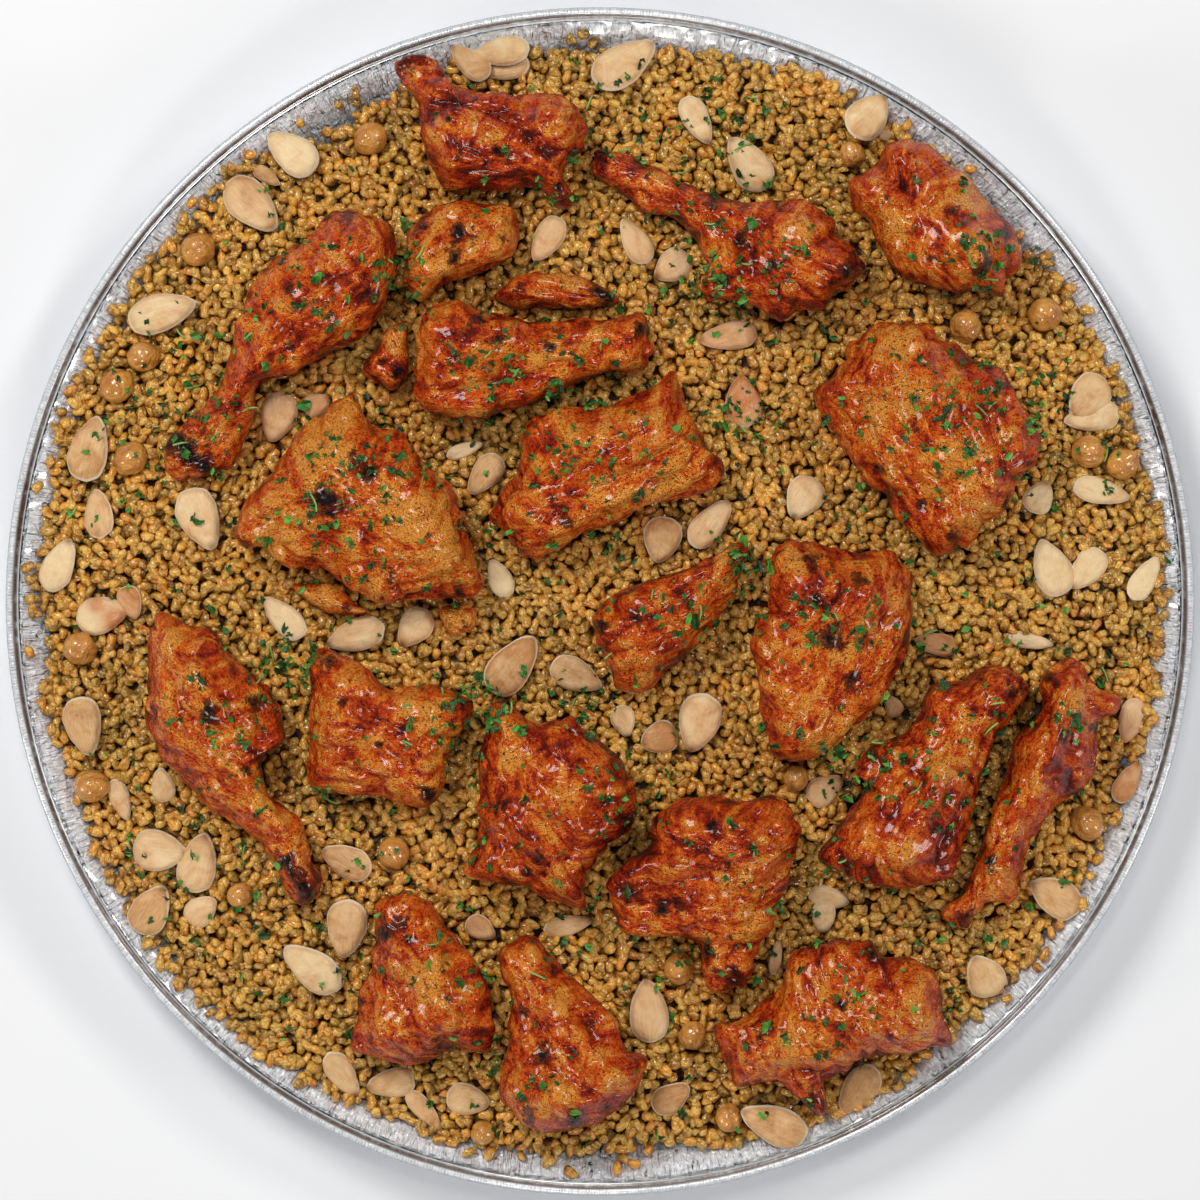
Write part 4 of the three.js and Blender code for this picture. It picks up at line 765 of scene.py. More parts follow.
# Meshes from arrays.
def make_piece(name, points, quads, triangles, material, attributes=None, uv=None, smooth=True):
    """A mesh object at the origin from points in millimetres, with faces by number and values by point."""
    corners = np.concatenate([quads.ravel(), triangles.ravel()]).astype(np.int32)
    sizes = np.repeat([4, 3], [len(quads), len(triangles)])
    mesh = bpy.data.meshes.new(name)
    mesh.vertices.add(len(points))
    mesh.vertices.foreach_set("co", (np.asarray(points, float) * MM).astype(np.float32).ravel())
    mesh.loops.add(len(corners))
    mesh.loops.foreach_set("vertex_index", corners)
    mesh.polygons.add(len(sizes))
    mesh.polygons.foreach_set("loop_start", (np.cumsum(sizes) - sizes).astype(np.int32))
    mesh.polygons.foreach_set("use_smooth", np.full(len(sizes), smooth))
    for key, values in (attributes or {}).items():
        colour = np.ndim(values) == 2
        layer = mesh.attributes.new(key, "FLOAT_COLOR" if colour else "FLOAT", "POINT")
        if colour:
            values = np.column_stack([values, np.ones(len(values))])
        layer.data.foreach_set("color" if colour else "value", np.asarray(values, np.float32).ravel())
    if uv is not None:
        layer = mesh.uv_layers.new(name="UVMap")
        layer.data.foreach_set("uv", np.asarray(uv, np.float32)[corners].ravel())
    mesh.update(calc_edges=True)
    mesh.materials.append(material)
    piece = bpy.data.objects.new(name, mesh)
    bpy.context.scene.collection.objects.link(piece)
    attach(piece, "root")
    return piece


def joined(name, shapes, finish):
    """One piece from several: their points one after another, and their faces numbered on."""
    starts = np.cumsum([0] + [len(shape[0]) for shape in shapes[:-1]])
    points, uv = (np.vstack([shape[part] for shape in shapes]) for part in (0, 4))
    quads, caps = (np.vstack([shape[part] + start for shape, start in zip(shapes, starts)])
                   for part in (1, 2))
    values = {key: np.concatenate([shape[3][key] for shape in shapes]) for key in shapes[0][3]}
    piece = make_piece(name, points, quads, caps, finish, values, uv)
    piece["on_top"] = True
    return piece


def strewn(name, bodies, quads, caps, finish, tint, smooth=True):
    """One piece from copies of a shape, by copy and point, with one copy's faces and a tint by point."""
    count, base = bodies.shape[:2]
    step = (np.arange(count) * base)[:, None, None]
    quads, caps = ((faces[None] + step).reshape(-1, faces.shape[1]) for faces in (quads, caps))
    return make_piece(name, bodies.reshape(-1, 3), quads, caps, finish, {"tint": tint}, smooth=smooth)


def ring_quads(rows, sides):
    """Quads between each ring of points and the next one out, faces up where rings run outwards."""
    row, side = np.meshgrid(np.arange(rows - 1), np.arange(sides), indexing="ij")
    after = (side + 1) % sides
    inner, outer = row * sides, (row + 1) * sides
    return np.stack([inner + side, outer + side, outer + after, inner + after], axis=-1).reshape(-1, 4)


def fan(pole, first, sides, up):
    """Triangles from a pole to a ring of points."""
    side = np.arange(sides)
    here, after = first + side, first + (side + 1) % sides
    pole = np.full(sides, pole)
    return np.stack([pole, here, after] if up else [pole, after, here], axis=1)


def shell_faces(rows, sides, up=True):
    """Quads between rings and a fan to a pole at either end, for a closed shape.

    The two poles follow the rings' points. The first ring looks up where up is true, and down otherwise.
    """
    count = rows * sides
    quads = ring_quads(rows, sides)
    caps = np.vstack([fan(count, 0, sides, up), fan(count + 1, count - sides, sides, not up)])
    return (quads if up else quads[:, ::-1]), caps


def points_of(piece):
    """A piece's vertices in millimetres."""
    numbers = np.empty(len(piece.data.vertices) * 3, np.float32)
    piece.data.vertices.foreach_get("co", numbers)
    return numbers.reshape(-1, 3) / MM


# Materials.
def paint(code):
    """A screen colour such as e0a050 as linear light."""
    shown = np.array([int(code[at:at + 2], 16) / 255 for at in (0, 2, 4)])
    return tuple(np.where(shown <= 0.04045, shown / 12.92, ((shown + 0.055) / 1.055) ** 2.4))


class Finish:
    """A material under construction: each call adds one shader node and gives back its socket."""

    def __init__(self, name):
        self.material = bpy.data.materials.new(name)
        self.material.use_nodes = True
        self.tree = self.material.node_tree
        self.tree.nodes.clear()
        coordinates = self.add("ShaderNodeTexCoord").outputs
        self.place, self.uv = coordinates["Object"], coordinates["UV"]

    def add(self, kind, inputs=None, **settings):
        node = self.tree.nodes.new(kind)
        for key, value in settings.items():
            setattr(node, key, value)
        for key, value in (inputs or {}).items():
            if isinstance(value, bpy.types.NodeSocket):
                self.tree.links.new(value, node.inputs[key])
            elif value is not None:
                node.inputs[key].default_value = value
        return node

    def stretched(self, scale):
        return self.add("ShaderNodeMapping", {"Vector": self.uv, "Scale": scale}).outputs[0]

    def noise(self, scale, detail, roughness=0.5, distortion=0.0, at=None):
        values = {"Vector": at or self.place, "Scale": scale, "Detail": detail, "Roughness": roughness,
                  "Distortion": distortion}
        return self.add("ShaderNodeTexNoise", values).outputs["Fac"]

    def attribute(self, name, output="Fac"):
        return self.add("ShaderNodeAttribute", attribute_name=name).outputs[output]

    def math(self, operation, a, b=0.0, c=None):
        return self.add("ShaderNodeMath", {0: a, 1: b, 2: c}, operation=operation).outputs[0]

    def vector(self, operation, a, b=None, c=None):
        return self.add("ShaderNodeVectorMath", {0: a, 1: b, 2: c}, operation=operation).outputs[0]

    def total(self, start, *parts):
        """A start and parts, each with its share, added up."""
        for part, share in parts:
            start = self.math("MULTIPLY_ADD", part, share, start)
        return start

    def span(self, value, low, high, to_low=0.0, to_high=1.0):
        values = {0: value, 1: low, 2: high, 3: to_low, 4: to_high}
        return self.add("ShaderNodeMapRange", values, interpolation_type="SMOOTHSTEP").outputs[0]

    def ramp(self, value, *stops):
        node = self.add("ShaderNodeValToRGB", {0: value})
        elements = node.color_ramp.elements
        while len(elements) < len(stops):
            elements.new(0.5)
        for element, (place, colour) in zip(elements, stops):
            element.position = place
            element.color = (*colour, 1)
        return node.outputs[0]

    def mix(self, share, a, b):
        values = {0: share}
        for key, colour in ((6, a), (7, b)):
            values[key] = colour if isinstance(colour, bpy.types.NodeSocket) else (*colour, 1)
        return self.add("ShaderNodeMix", values, data_type="RGBA").outputs[2]

    def bump(self, *layers):
        """Relief, coarse to fine: each layer is a height, its depth in metres and its strength."""
        under = None
        for height, depth, strength in layers:
            values = {"Height": height, "Distance": depth, "Strength": strength, "Normal": under}
            under = self.add("ShaderNodeBump", values).outputs[0]
        return under

    def done(self, colour, relief, roughness, **gloss):
        """The finished material; gloss names sockets of the shader, with _ for a space."""
        inputs = {"Base Color": colour, "Normal": relief, "Roughness": roughness}
        inputs.update({key.replace("_", " "): value for key, value in gloss.items()})
        shader = self.add("ShaderNodeBsdfPrincipled", inputs)
        self.add("ShaderNodeOutputMaterial", {"Surface": shader.outputs[0]})
        return self.material


def skin_finish(props):
    """Glossy roast skin, from deep red to gold, with dark specks and char.

    Its tone adds up blotches a few millimetres wide, grain below a millimetre, wrinkles drawn out along the
    piece, the gold of each point, and its painted shade on the sides and in folds, mixed with random tone
    and roast. Four sizes of noise and the wrinkles raise it.
    """
    make = Finish("roast_skin")
    blotch = make.noise(7.2, 3, 0.66, 0.5, make.stretched((0.85, 1.15, 1)))
    wrinkles = make.noise(4.6, 1, 0.55, 0, make.stretched((1, 3.2, 1)))
    fine = make.noise(900, 1, 0.6)
    tone = make.total(-0.36, (blotch, 2.0), (fine, 0.6), (wrinkles, -0.35), (make.attribute("gold"), 0.34),
                      (make.attribute("painted_shade_and_tone"), -0.42))
    colour = make.ramp(tone, (0.12, props.deep), (0.36, props.red), (0.56, props.orange),
                       (0.77, props.amber), (1.0, props.gold))
    patch = make.total(make.attribute("char"), (make.noise(300, 2, 0.75), 1.5),
                       (make.attribute("crest"), 0.3))
    specks = make.noise(1100, 0)
    colour = make.mix(make.span(patch, 1.1, 1.4, 0, 0.85), colour, props.deep)
    colour = make.mix(make.span(specks, 0.68, 0.78, 0, 0.7), colour, props.deep)
    colour = make.mix(make.span(patch, 1.42, 1.75), colour, props.char)
    relief = make.bump((make.noise(190, 1, 0.6), 0.002, 0.6), (wrinkles, 0.0016, 0.9),
                       (make.noise(430, 0), 0.0012, 0.9), (specks, 0.0008, 0.9),
                       (make.noise(2200, 0), 0.0011, 0.9))
    return make.done(colour, relief, make.span(fine, 0.3, 0.7, 0.3, 0.5), Specular_IOR_Level=0.15,
                     Coat_Weight=0.38, Coat_IOR=1.6, Coat_Roughness=0.13)


def kernel_finish(props):
    """Moist cooked grain: each kernel's own tint, with a painted highlight in patches and painted shade
    along the creases of its relief.
    """
    make = Finish("cooked_kernels")
    tint = make.attribute("tint", "Color")
    mottle = make.noise(560, 1, 0.65)
    relief = make.noise(430, 1, 0.6)
    crease = make.math("ABSOLUTE", make.math("ADD", relief, -0.5))
    # Painted highlight: pale patches mixed towards the highlight colour.
    colour = make.mix(make.span(mottle, 0.42, 0.68, 0, 0.5), tint, props.highlight)
    # Painted shade: a dark line where the relief crosses its middle, for the shade in a crease.
    colour = make.mix(make.span(crease, 0, 0.035, 0.5, 0), colour, props.painted_shade_brown)
    raised = make.total(relief, (make.span(crease, 0, 0.08), 0.2))
    return make.done(colour, make.bump((raised, 0.001, 0.85)), 0.4, Specular_IOR_Level=0.1, Coat_Weight=0.8,
                     Coat_IOR=1.6, Coat_Roughness=0.13)


def core_finish(props):
    """The grain deep between the kernels, painted dark brown as the shade in the gaps between them."""
    make = Finish("deep_grain_painted_shade")
    colour = make.ramp(make.noise(260, 5, 0.6), (0.3, paint("221204")), (0.7, props.painted_shade_brown))
    cells = make.add("ShaderNodeTexVoronoi", {"Vector": make.place, "Scale": 260}).outputs["Distance"]
    return make.done(colour, make.bump((cells, 0.002, 0.9)), 0.5)


def almond_finish(props):
    """Toasted almond: a cream cut rim, painted brighter as a highlight, round a tan face with fine wrinkles
    that run its length.
    """
    make = Finish("toasted_almond")
    glaze = make.attribute("glaze")
    streaks = make.noise(1.6, 5, 0.65, 0.8, make.stretched((2.2, 16, 1)))
    toast = make.math("ADD", make.total(make.attribute("toast"), (streaks, 0.55)), -0.3)
    toast = make.total(toast, (make.noise(95, 4, 0.65, 0.6), 1.3))
    face = make.ramp(toast, (0.3, props.pale), (0.7, props.tan), (1.05, props.toasted))
    # The rim: a cream cut edge, painted brighter than it is as a highlight.
    colour = make.mix(make.attribute("rim"), face, props.rim)
    colour = make.mix(make.attribute("scorch"), colour, props.scorch)
    colour = make.mix(glaze, colour, props.glaze)
    relief = make.bump((streaks, 0.0006, 0.6), (make.noise(240, 2), 0.0012, 0.6))
    return make.done(colour, relief, make.span(glaze, 0, 0.5, 0.42, 0.14), Specular_IOR_Level=0.45)


def chickpea_finish(props):
    """Cooked chickpea: a smooth tan skin, with painted shade in its cleft."""
    make = Finish("cooked_chickpea")
    colour = make.ramp(make.noise(170, 4, 0.6), (0.3, props.chickpea_dark), (0.65, props.chickpea))
    # Painted shade: darker in the cleft.
    colour = make.mix(make.attribute("cleft"), colour, props.chickpea_dark)
    relief = make.bump((make.noise(190, 3, 0.6, 0.8), 0.0026, 0.9))
    return make.done(colour, relief, 0.34, Coat_Weight=0.8, Coat_IOR=1.6, Coat_Roughness=0.12)


def parsley_finish():
    """Chopped herb: each flake's own green, lighter in fine patches."""
    make = Finish("chopped_parsley")
    tint = make.attribute("tint", "Color")
    colour = make.mix(make.span(make.noise(1500, 3), 0.5, 0.75, 0, 0.5), tint, paint("79a84a"))
    return make.done(colour, make.bump((make.noise(2200, 3), 0.0003, 0.6)), 0.42)


def foil_finish(props):
    """Pressed foil: ticks round the bead, pleats down the band and the wall, and brown oil in the groove.

    The pleats are noise on the direction from the tray's middle, so that they run along the radius. Where
    pleats and crumples lie low together the foil is painted in greys down to dark, as painted reflection and
    shade, and the lip and the ticks get painted shade too.
    """
    make = Finish("pressed_foil")
    way = make.vector("NORMALIZE", make.vector("MULTIPLY", make.place, (1, 1, 0)))
    parts = make.add("ShaderNodeSeparateXYZ", {"Vector": way}).outputs
    turn = make.math("ARCTAN2", parts[1], parts[0])
    drift = make.vector("MULTIPLY", make.place, (0.2, 0.2, 0.3))
    pleat_at = make.vector("MULTIPLY_ADD", way, (0.2, 0.2, 0), drift)
    wave = make.total(make.math("MULTIPLY", turn, props.knurls), (make.noise(150, 2), 14.0))
    ticks = make.math("MULTIPLY", make.math("SINE", wave), make.span(make.noise(500, 2), 0.35, 0.6, 0.2, 1))
    pleats = make.noise(560, 2, 0.5, 0.5, pleat_at)
    crumple = make.noise(250, 2, 0.55, 0.8)
    pleated, bead = make.attribute("pleat"), make.attribute("bead")
    relief = make.bump((make.math("MULTIPLY", pleats, pleated), 0.0035, 0.9),
                       (make.math("MULTIPLY", crumple, pleated), 0.0022, 0.8),
                       (make.math("MULTIPLY", ticks, bead), 0.0002, 0.8))
    facet = make.total(make.math("MULTIPLY", pleats, 0.9), (crumple, 0.8))
    # Painted reflection and shade: pleated foil runs from dark grey in low creases through grey to white.
    creased = make.ramp(facet, (0.53, props.foil_shade), (0.61, paint("ccd1d6")), (0.68, props.foil))
    # Painted shade on the ticks of the bead and in its lip.
    shade = make.math("MAXIMUM", make.math("MULTIPLY", make.span(ticks, 0.2, 0.9, 0.1, 0.4), bead),
                      make.attribute("painted_lip_shade"))
    patches = make.span(make.noise(300, 3, 0.6), 0.2, 0.55, 0.4, 1)
    colour = make.mix(pleated, props.foil, creased)
    colour = make.mix(shade, colour, props.foil_shade)
    colour = make.mix(make.math("MULTIPLY", make.attribute("oil"), patches), colour, props.oil)
    return make.done(colour, relief, make.span(make.noise(240, 3), 0.3, 0.7, 0.16, 0.32), Metallic=0.1,
                     Coat_Weight=0.8, Coat_IOR=2.2, Coat_Roughness=0.12)


# Shapes.
def tray_piece(props):
    """The pressed tray: one profile turned about Z through every angle, so that it closes on itself.

    The profile runs under the floor, up the wall's back, round the rolled bead and down the inside. On the
    band the foil is pushed in and out by pleats: noise that changes quickly with the angle and slowly with
    the height. Creases and dents push the wall, and fine noise dents the bead for its ticks.
    """
    def run(corners, steps):
        """The corners of a polyline with so many even steps in each of its spans."""
        share = np.concatenate([np.arange(step) / step + span for span, step in enumerate(steps)])
        share = np.append(share, len(steps))
        return np.stack([np.interp(share, np.arange(len(corners)), part) for part in zip(*corners)], axis=1)

    curl = np.radians(np.linspace(*BEAD_CURL))
    profile = np.vstack([run(OUTSIDE, OUTSIDE_STEPS), BEAD_MIDDLE + BEAD_RADIUS * around(1, curl),
                         run(INSIDE, INSIDE_STEPS)])
    radius, height = profile.T
    rows, sides = len(radius), props.steps
    turn, r = np.meshgrid(np.linspace(0, 2 * pi, sides, endpoint=False), radius)
    z = np.repeat(height[:, None], sides, axis=1)
    ring = around(1, turn.ravel())

    def pattern(kind, reach, rise, *rest):
        """Noise on a cylinder of the given reach, with the height scaled by rise."""
        return kind(np.column_stack([ring * reach, z.ravel() * rise]), *rest).reshape(r.shape)

    band, wall, on_bead = plateau(PLEATED_BAND, r), plateau(CREASED_WALL, r), smoothstep(*BEAD_START, r)
    wander = pattern(rough_noise, 60, 1, 9, 5, 3)
    creases = pattern(creased_noise, 190, 0.5, 7, 9)
    dents = pattern(noise, 200, 1, 14, 12)
    pleats = pattern(rough_noise, 198, 0.1, 3.2, 15, 2)
    ticks = pattern(noise, 203, 1, 2.2, 8)
    r = r + band * pleats * props.pleat_depth + wall * (0.5 * creases + 0.5 * dents + 0.2 * wander)
    r = r - on_bead * props.knurl_depth * (0.5 + 0.5 * ticks)
    z = z - band * pleats * props.pleat_depth + wall * 0.2 * dents
    points = np.column_stack([around(r.ravel(), turn.ravel()), z.ravel()])
    points = np.vstack([points, [(0, 0, 0), (0, 0, TRAY_FOIL)]])
    # Painted shade in the bead's outer lip and at its foot.
    painted_lip_shade = np.maximum(smoothstep(*BEAD_LIP, r), plateau(BEAD_FOOT, r)) * LIP_SHADE
    middle, reach, lowest = OIL_GROOVE
    groove = np.exp(-(((radius - middle) / reach) ** 2)) * (height > lowest)
    oil = np.repeat(groove, sides) * (1.1 + spots(ring * 200, OIL_STAINS))
    zones = {"bead": on_bead, "painted_lip_shade": painted_lip_shade, "pleat": plateau(CREASED_FOIL, r), "oil": oil}
    values = {key: np.append(np.clip(zone, 0, 1), [0, 0]) for key, zone in zones.items()}
    return points, *shell_faces(rows, sides, False), values


def chicken_piece(piece, seed):
    """One piece of chicken, closed: rings run from the line of its ridge out to its outline and back under.

    At a share from ridge to outline given by sin a, the height is the bed's plus the ridge's rise times
    0.36 + 0.64 cos a. Swellings and folds are added as soft spots and as soft bands beside segments, and
    then swells, blisters, wrinkles and fine noise push the skin along its own outward direction. Under the
    outline the rings draw in to 0.8 of the way and close along a second line on the bed.
    """
    outline = np.asarray(piece["outline"], float)
    length = np.linalg.norm(outline - np.roll(outline, -1, axis=0), axis=1).sum()
    sides = int(np.clip(length / SKIN_STEP, *SKIN_SIDES))
    edge = closed_curve(outline, sides)
    if np.sum(edge[:, 0] * np.roll(edge[:, 1], -1) - edge[:, 1] * np.roll(edge[:, 0], -1)) < 0:
        edge = edge[::-1]

    # Each point of the edge gets its own knot of the ridge, in order from the ridge's start and back to it.
    start, end = np.asarray(piece["ridge"], float)
    run = end - start
    edge = np.roll(edge, -int(np.argmin((edge - start) @ run)), axis=0)
    free = ((edge - start) @ run) / (run @ run)
    far = int(np.argmax(free))
    along = np.clip(free, 0, 1)
    along[:far + 1] = np.maximum.accumulate(along[:far + 1])
    along[far:] = np.maximum.accumulate(along[far:][::-1])[::-1]
    knots = max(int(np.linalg.norm(run) / RIDGE_STEP), 1)
    knot = np.round(along * knots).astype(int)
    foot = start + (knot / knots)[:, None] * run
    span = np.linalg.norm(edge - foot, axis=1)
    edge = foot + (edge - foot) * (1 - SIDE_GAP / np.maximum(span, SIDE_GAP))[:, None]
    ragged = noise(flat(edge), 5, seed + 31) * 0.45
    edge = edge + (edge - foot) * ((ragged - 0.2) / np.maximum(span, 4))[:, None]

    # Rings by share of the way out, share of the rise, and how far the skin looks up.
    tilt = np.linspace(0, pi / 2, int(np.clip(span.max() * 1.05, *SKIN_ROWS)) + 1)[1:]
    tuck = np.linspace(0, 1, TUCK_ROWS + 1)[1:]
    share = np.concatenate([np.sin(tilt), 1 - (1 - FOOT_SHRINK) * tuck**1.6, [0.55, 0.25]])
    level = np.concatenate([WIDEST_AT + (1 - WIDEST_AT) * np.cos(tilt), WIDEST_AT * (1 - tuck**0.8), [0, 0]])
    look = np.concatenate([np.cos(tilt), -0.3 * tuck, [-1, -1]])
    rows = len(share)
    line = np.arange(knots + 1) / knots

    def padded(top, rings, low):
        """Values along the ridge line, round the rings, and along the line below."""
        return np.concatenate([top * np.ones(knots + 1), rings, low * np.ones(knots + 1)])

    ridge_line = start + line[:, None] * run
    xy = foot[None] + share[:, None, None] * (edge - foot)[None]
    xy = np.vstack([ridge_line, xy.reshape(-1, 2), ridge_line])
    rise, rise_line = (np.interp(where, [0, 1], piece["rise"]) for where in (knot / knots, line))
    rises = padded(rise_line, np.tile(rise, rows), 0)
    up = padded(1, np.repeat(look, sides), -1)
    away = np.vstack([np.zeros((knots + 1, 2)), np.tile(edge - foot, (rows, 1)), np.zeros((knots + 1, 2))])
    height = rest_height(*xy.T) + REST_GAP + rises * padded(1, np.repeat(level, sides), 0)
    crest = np.clip(up, 0, 1)
    for x, y, wide, tall in piece.get("lobes", []):
        height += tall * np.exp(-((xy[:, 0] - x) ** 2 + (xy[:, 1] - y) ** 2) / (2 * wide**2)) * crest
    cleft = np.zeros(len(xy))
    bend = 1.2 * noise(flat(xy), 6, seed + 3)
    for x0, y0, x1, y1, wide, tall in piece.get("folds", []):
        place, off = along_segment(xy, (x0, y0), (x1, y1))
        beside = np.abs(off + bend) / wide
        band = np.exp(-beside * 1.3) if tall < 0 else np.exp(-(beside**2))
        band = band * (0.35 + 0.65 * np.sin(pi * np.clip(place, 0.02, 0.98)))
        height += tall * FOLD_GAIN * band * crest**0.5
        # The folds' clefts are carried on as painted shade.
        cleft += np.clip(-tall, 0, 3) * band * 0.45

    # The skin's outward direction, and how far each point is pushed along it.
    points = np.column_stack([xy, height])
    width = np.linalg.norm(away, axis=1, keepdims=True)
    sideways = (np.maximum(rises, 6) * padded(0, np.repeat(share, sides), 0))[:, None]
    normal = np.column_stack([away / np.maximum(width, 1e-6) * sideways, np.maximum(width[:, 0], 6) * up])
    normal /= np.maximum(np.linalg.norm(normal, axis=1, keepdims=True), 1e-6)
    blisters = creased_noise(points, 7, seed + 11)
    fold = np.asarray(piece.get("folds", [(*start, *end)])[0][:4])
    grain = (fold[2:] - fold[:2]) / np.linalg.norm(fold[2:] - fold[:2])
    across = np.array([-grain[1], grain[0]])
    drawn = np.column_stack([(xy @ grain) * 0.35, xy @ across, height * 0.5])
    wrinkles = creased_noise(drawn + 3 * noise(points, 20, seed + 61)[:, None], 5.5, seed + 51)
    swell = 1.3 * rough_noise(points, 15, seed, 2) + 1.1 * (blisters - 0.55) + 2.0 * (wrinkles - 0.55)
    swell += 0.5 * rough_noise(points, 3.6, seed + 21, 2)
    points = points + normal * (swell * smoothstep(-0.25, 0.05, up))[:, None]
    points[:, 2] = np.maximum(points[:, 2], rest_height(*points[:, :2].T) + 0.25)

    # What the finish reads: gold and char patches, browned crests, and painted shade on the sides, in folds
    # and in valleys, mixed with random tone and the piece's roast.
    rag = 0.55 + 0.75 * (noise(flat(points[:, :2]), 4, seed + 5) * 0.5 + 0.5)
    gold = spots(xy, piece.get("gold", [])) * rag
    char = spots(xy, [(x, y, r * 0.9) for x, y, r in piece.get("char", [])]) * 0.85 * rag
    # Painted shade in the valleys between blisters and wrinkles.
    valley_shade = (smoothstep(0.45, 0.05, blisters) + smoothstep(0.45, 0.05, wrinkles)) * 0.4
    worn = smoothstep(0.55, 0.9, blisters) + smoothstep(0.55, 0.9, wrinkles)
    # Painted shade on sides that face away from above and in clefts, plus random tone and the piece's roast.
    painted_shade_and_tone = 0.8 * np.clip(1.0 - 1.25 * crest, 0, 1) ** 1.3 + cleft + valley_shade
    painted_shade_and_tone += 0.45 * noise(points, 16, seed + 41)
    values = {"gold": np.clip(gold, 0, 1), "char": np.clip(char, 0, 1), "crest": np.clip(worn, 0, 1) * crest,
              "painted_shade_and_tone": np.clip(painted_shade_and_tone + piece.get("roast", 0), -0.8, 1.4)}
    warp = 1.6 * np.column_stack([noise(points, 9, seed + 71), noise(points, 9, seed + 72)])
    uv = np.column_stack([xy @ grain + 0.4 * height, xy @ across + 0.8 * height])
    uv = (uv + warp) / SKIN_SHEET + 3.1 * seed

    first = knots + 1
    side = np.arange(sides)
    after = (side + 1) % sides
    here, there = knot[side], knot[after]
    same = here == there

    def closing(line, ring, flip):
        """Faces between a ridge line and the ring round it: a triangle where one ridge point serves both."""
        three = np.stack([line + here[same], ring + side[same], ring + after[same]], axis=1)
        four = np.stack([line + here[~same], ring + side[~same], ring + after[~same], line + there[~same]],
                        axis=1)
        return (three[:, ::-1], four[:, ::-1]) if flip else (three, four)

    top_threes, top_fours = closing(0, first, False)
    low_threes, low_fours = closing(first + rows * sides, first + (rows - 1) * sides, True)
    quads = np.vstack([ring_quads(rows, sides) + first, top_fours, low_fours])
    return points, quads, np.vstack([top_threes, low_threes]), values, uv


def kernel_shapes(draw):
    """Kinds of kernel, each a closed ring shape on the X axis, one millimetre wide and long.

    Rings stand at -cos of even angles. A ring's radius is half of the sine of its angle to a power from 0.6
    to 0.9, with a soft groove down one side, a pinch at one end and a dent at every point. Two kinds in five
    are cracked: cut off by a slanting plane, or cut flat below.
    """
    slope = np.linspace(0, pi, KERNEL_RINGS + 2)[1:-1]
    t, angle = np.meshgrid(slope, np.arange(KERNEL_SIDES) * 2 * pi / KERNEL_SIDES, indexing="ij")
    shapes, groove_shade_and_tips = [], []
    for kind in range(KERNEL_KINDS):
        groove = draw.uniform(0.15, 0.5) if kind % 3 else 0.0
        groove = groove * np.exp(-(((angle - pi / 2) / 0.55) ** 2))
        pinch = draw.uniform(-0.25, 0.25)
        bend = draw.uniform(-0.1, 0.1)
        radius = 0.5 * np.sin(t) ** draw.uniform(0.6, 0.9) * (1 + pinch * np.cos(t)) * (1 - groove)
        radius = radius * (1 + draw.uniform(-0.17, 0.17, radius.shape))
        body = [-0.5 * np.cos(t), radius * np.cos(angle) + bend * np.sin(t) ** 2, radius * np.sin(angle)]
        body = np.vstack([np.stack(body, axis=-1).reshape(-1, 3), [(-0.5, 0, 0), (0.5, 0, 0)]])
        if kind % 5 == 3:
            body[:, 0] = np.minimum(body[:, 0], draw.uniform(0.08, 0.22) + 0.35 * body[:, 1])
        if kind % 5 == 4:
            body[:, 2] = np.maximum(body[:, 2], -0.12 + 0.1 * body[:, 1])
        shapes.append(body)
        # Darkness by point for each kind: painted shade down its groove, and darker tips at its two poles.
        groove_shade_and_tips.append(np.append(groove.ravel(), [0.25, 0.1]))
    return np.array(shapes), np.array(groove_shade_and_tips), *shell_faces(KERNEL_RINGS, KERNEL_SIDES, False)


def nut_dent(xy):
    """How far the grain gives way under nuts: an even depth inside each oval, fading at its edge."""
    dent = np.zeros(len(xy))
    peas = [(x, y, 0, 2 * radius, 2 * radius) for x, y, radius in CHICKPEAS]
    for rows, depth in zip((ALMONDS, SUNK_ALMONDS, ALMOND_BITS, peas), NUT_DENTS):
        for x, y, heading, length, width in rows:
            c, s = np.cos(radians(heading)), np.sin(radians(heading))
            along = ((xy[:, 0] - x) * c + (xy[:, 1] - y) * s) / (length / 2)
            across = ((xy[:, 1] - y) * c - (xy[:, 0] - x) * s) / (width / 2)
            dent = np.maximum(dent, depth * smoothstep(1.25, 0.85, np.hypot(along, across)))
    return dent


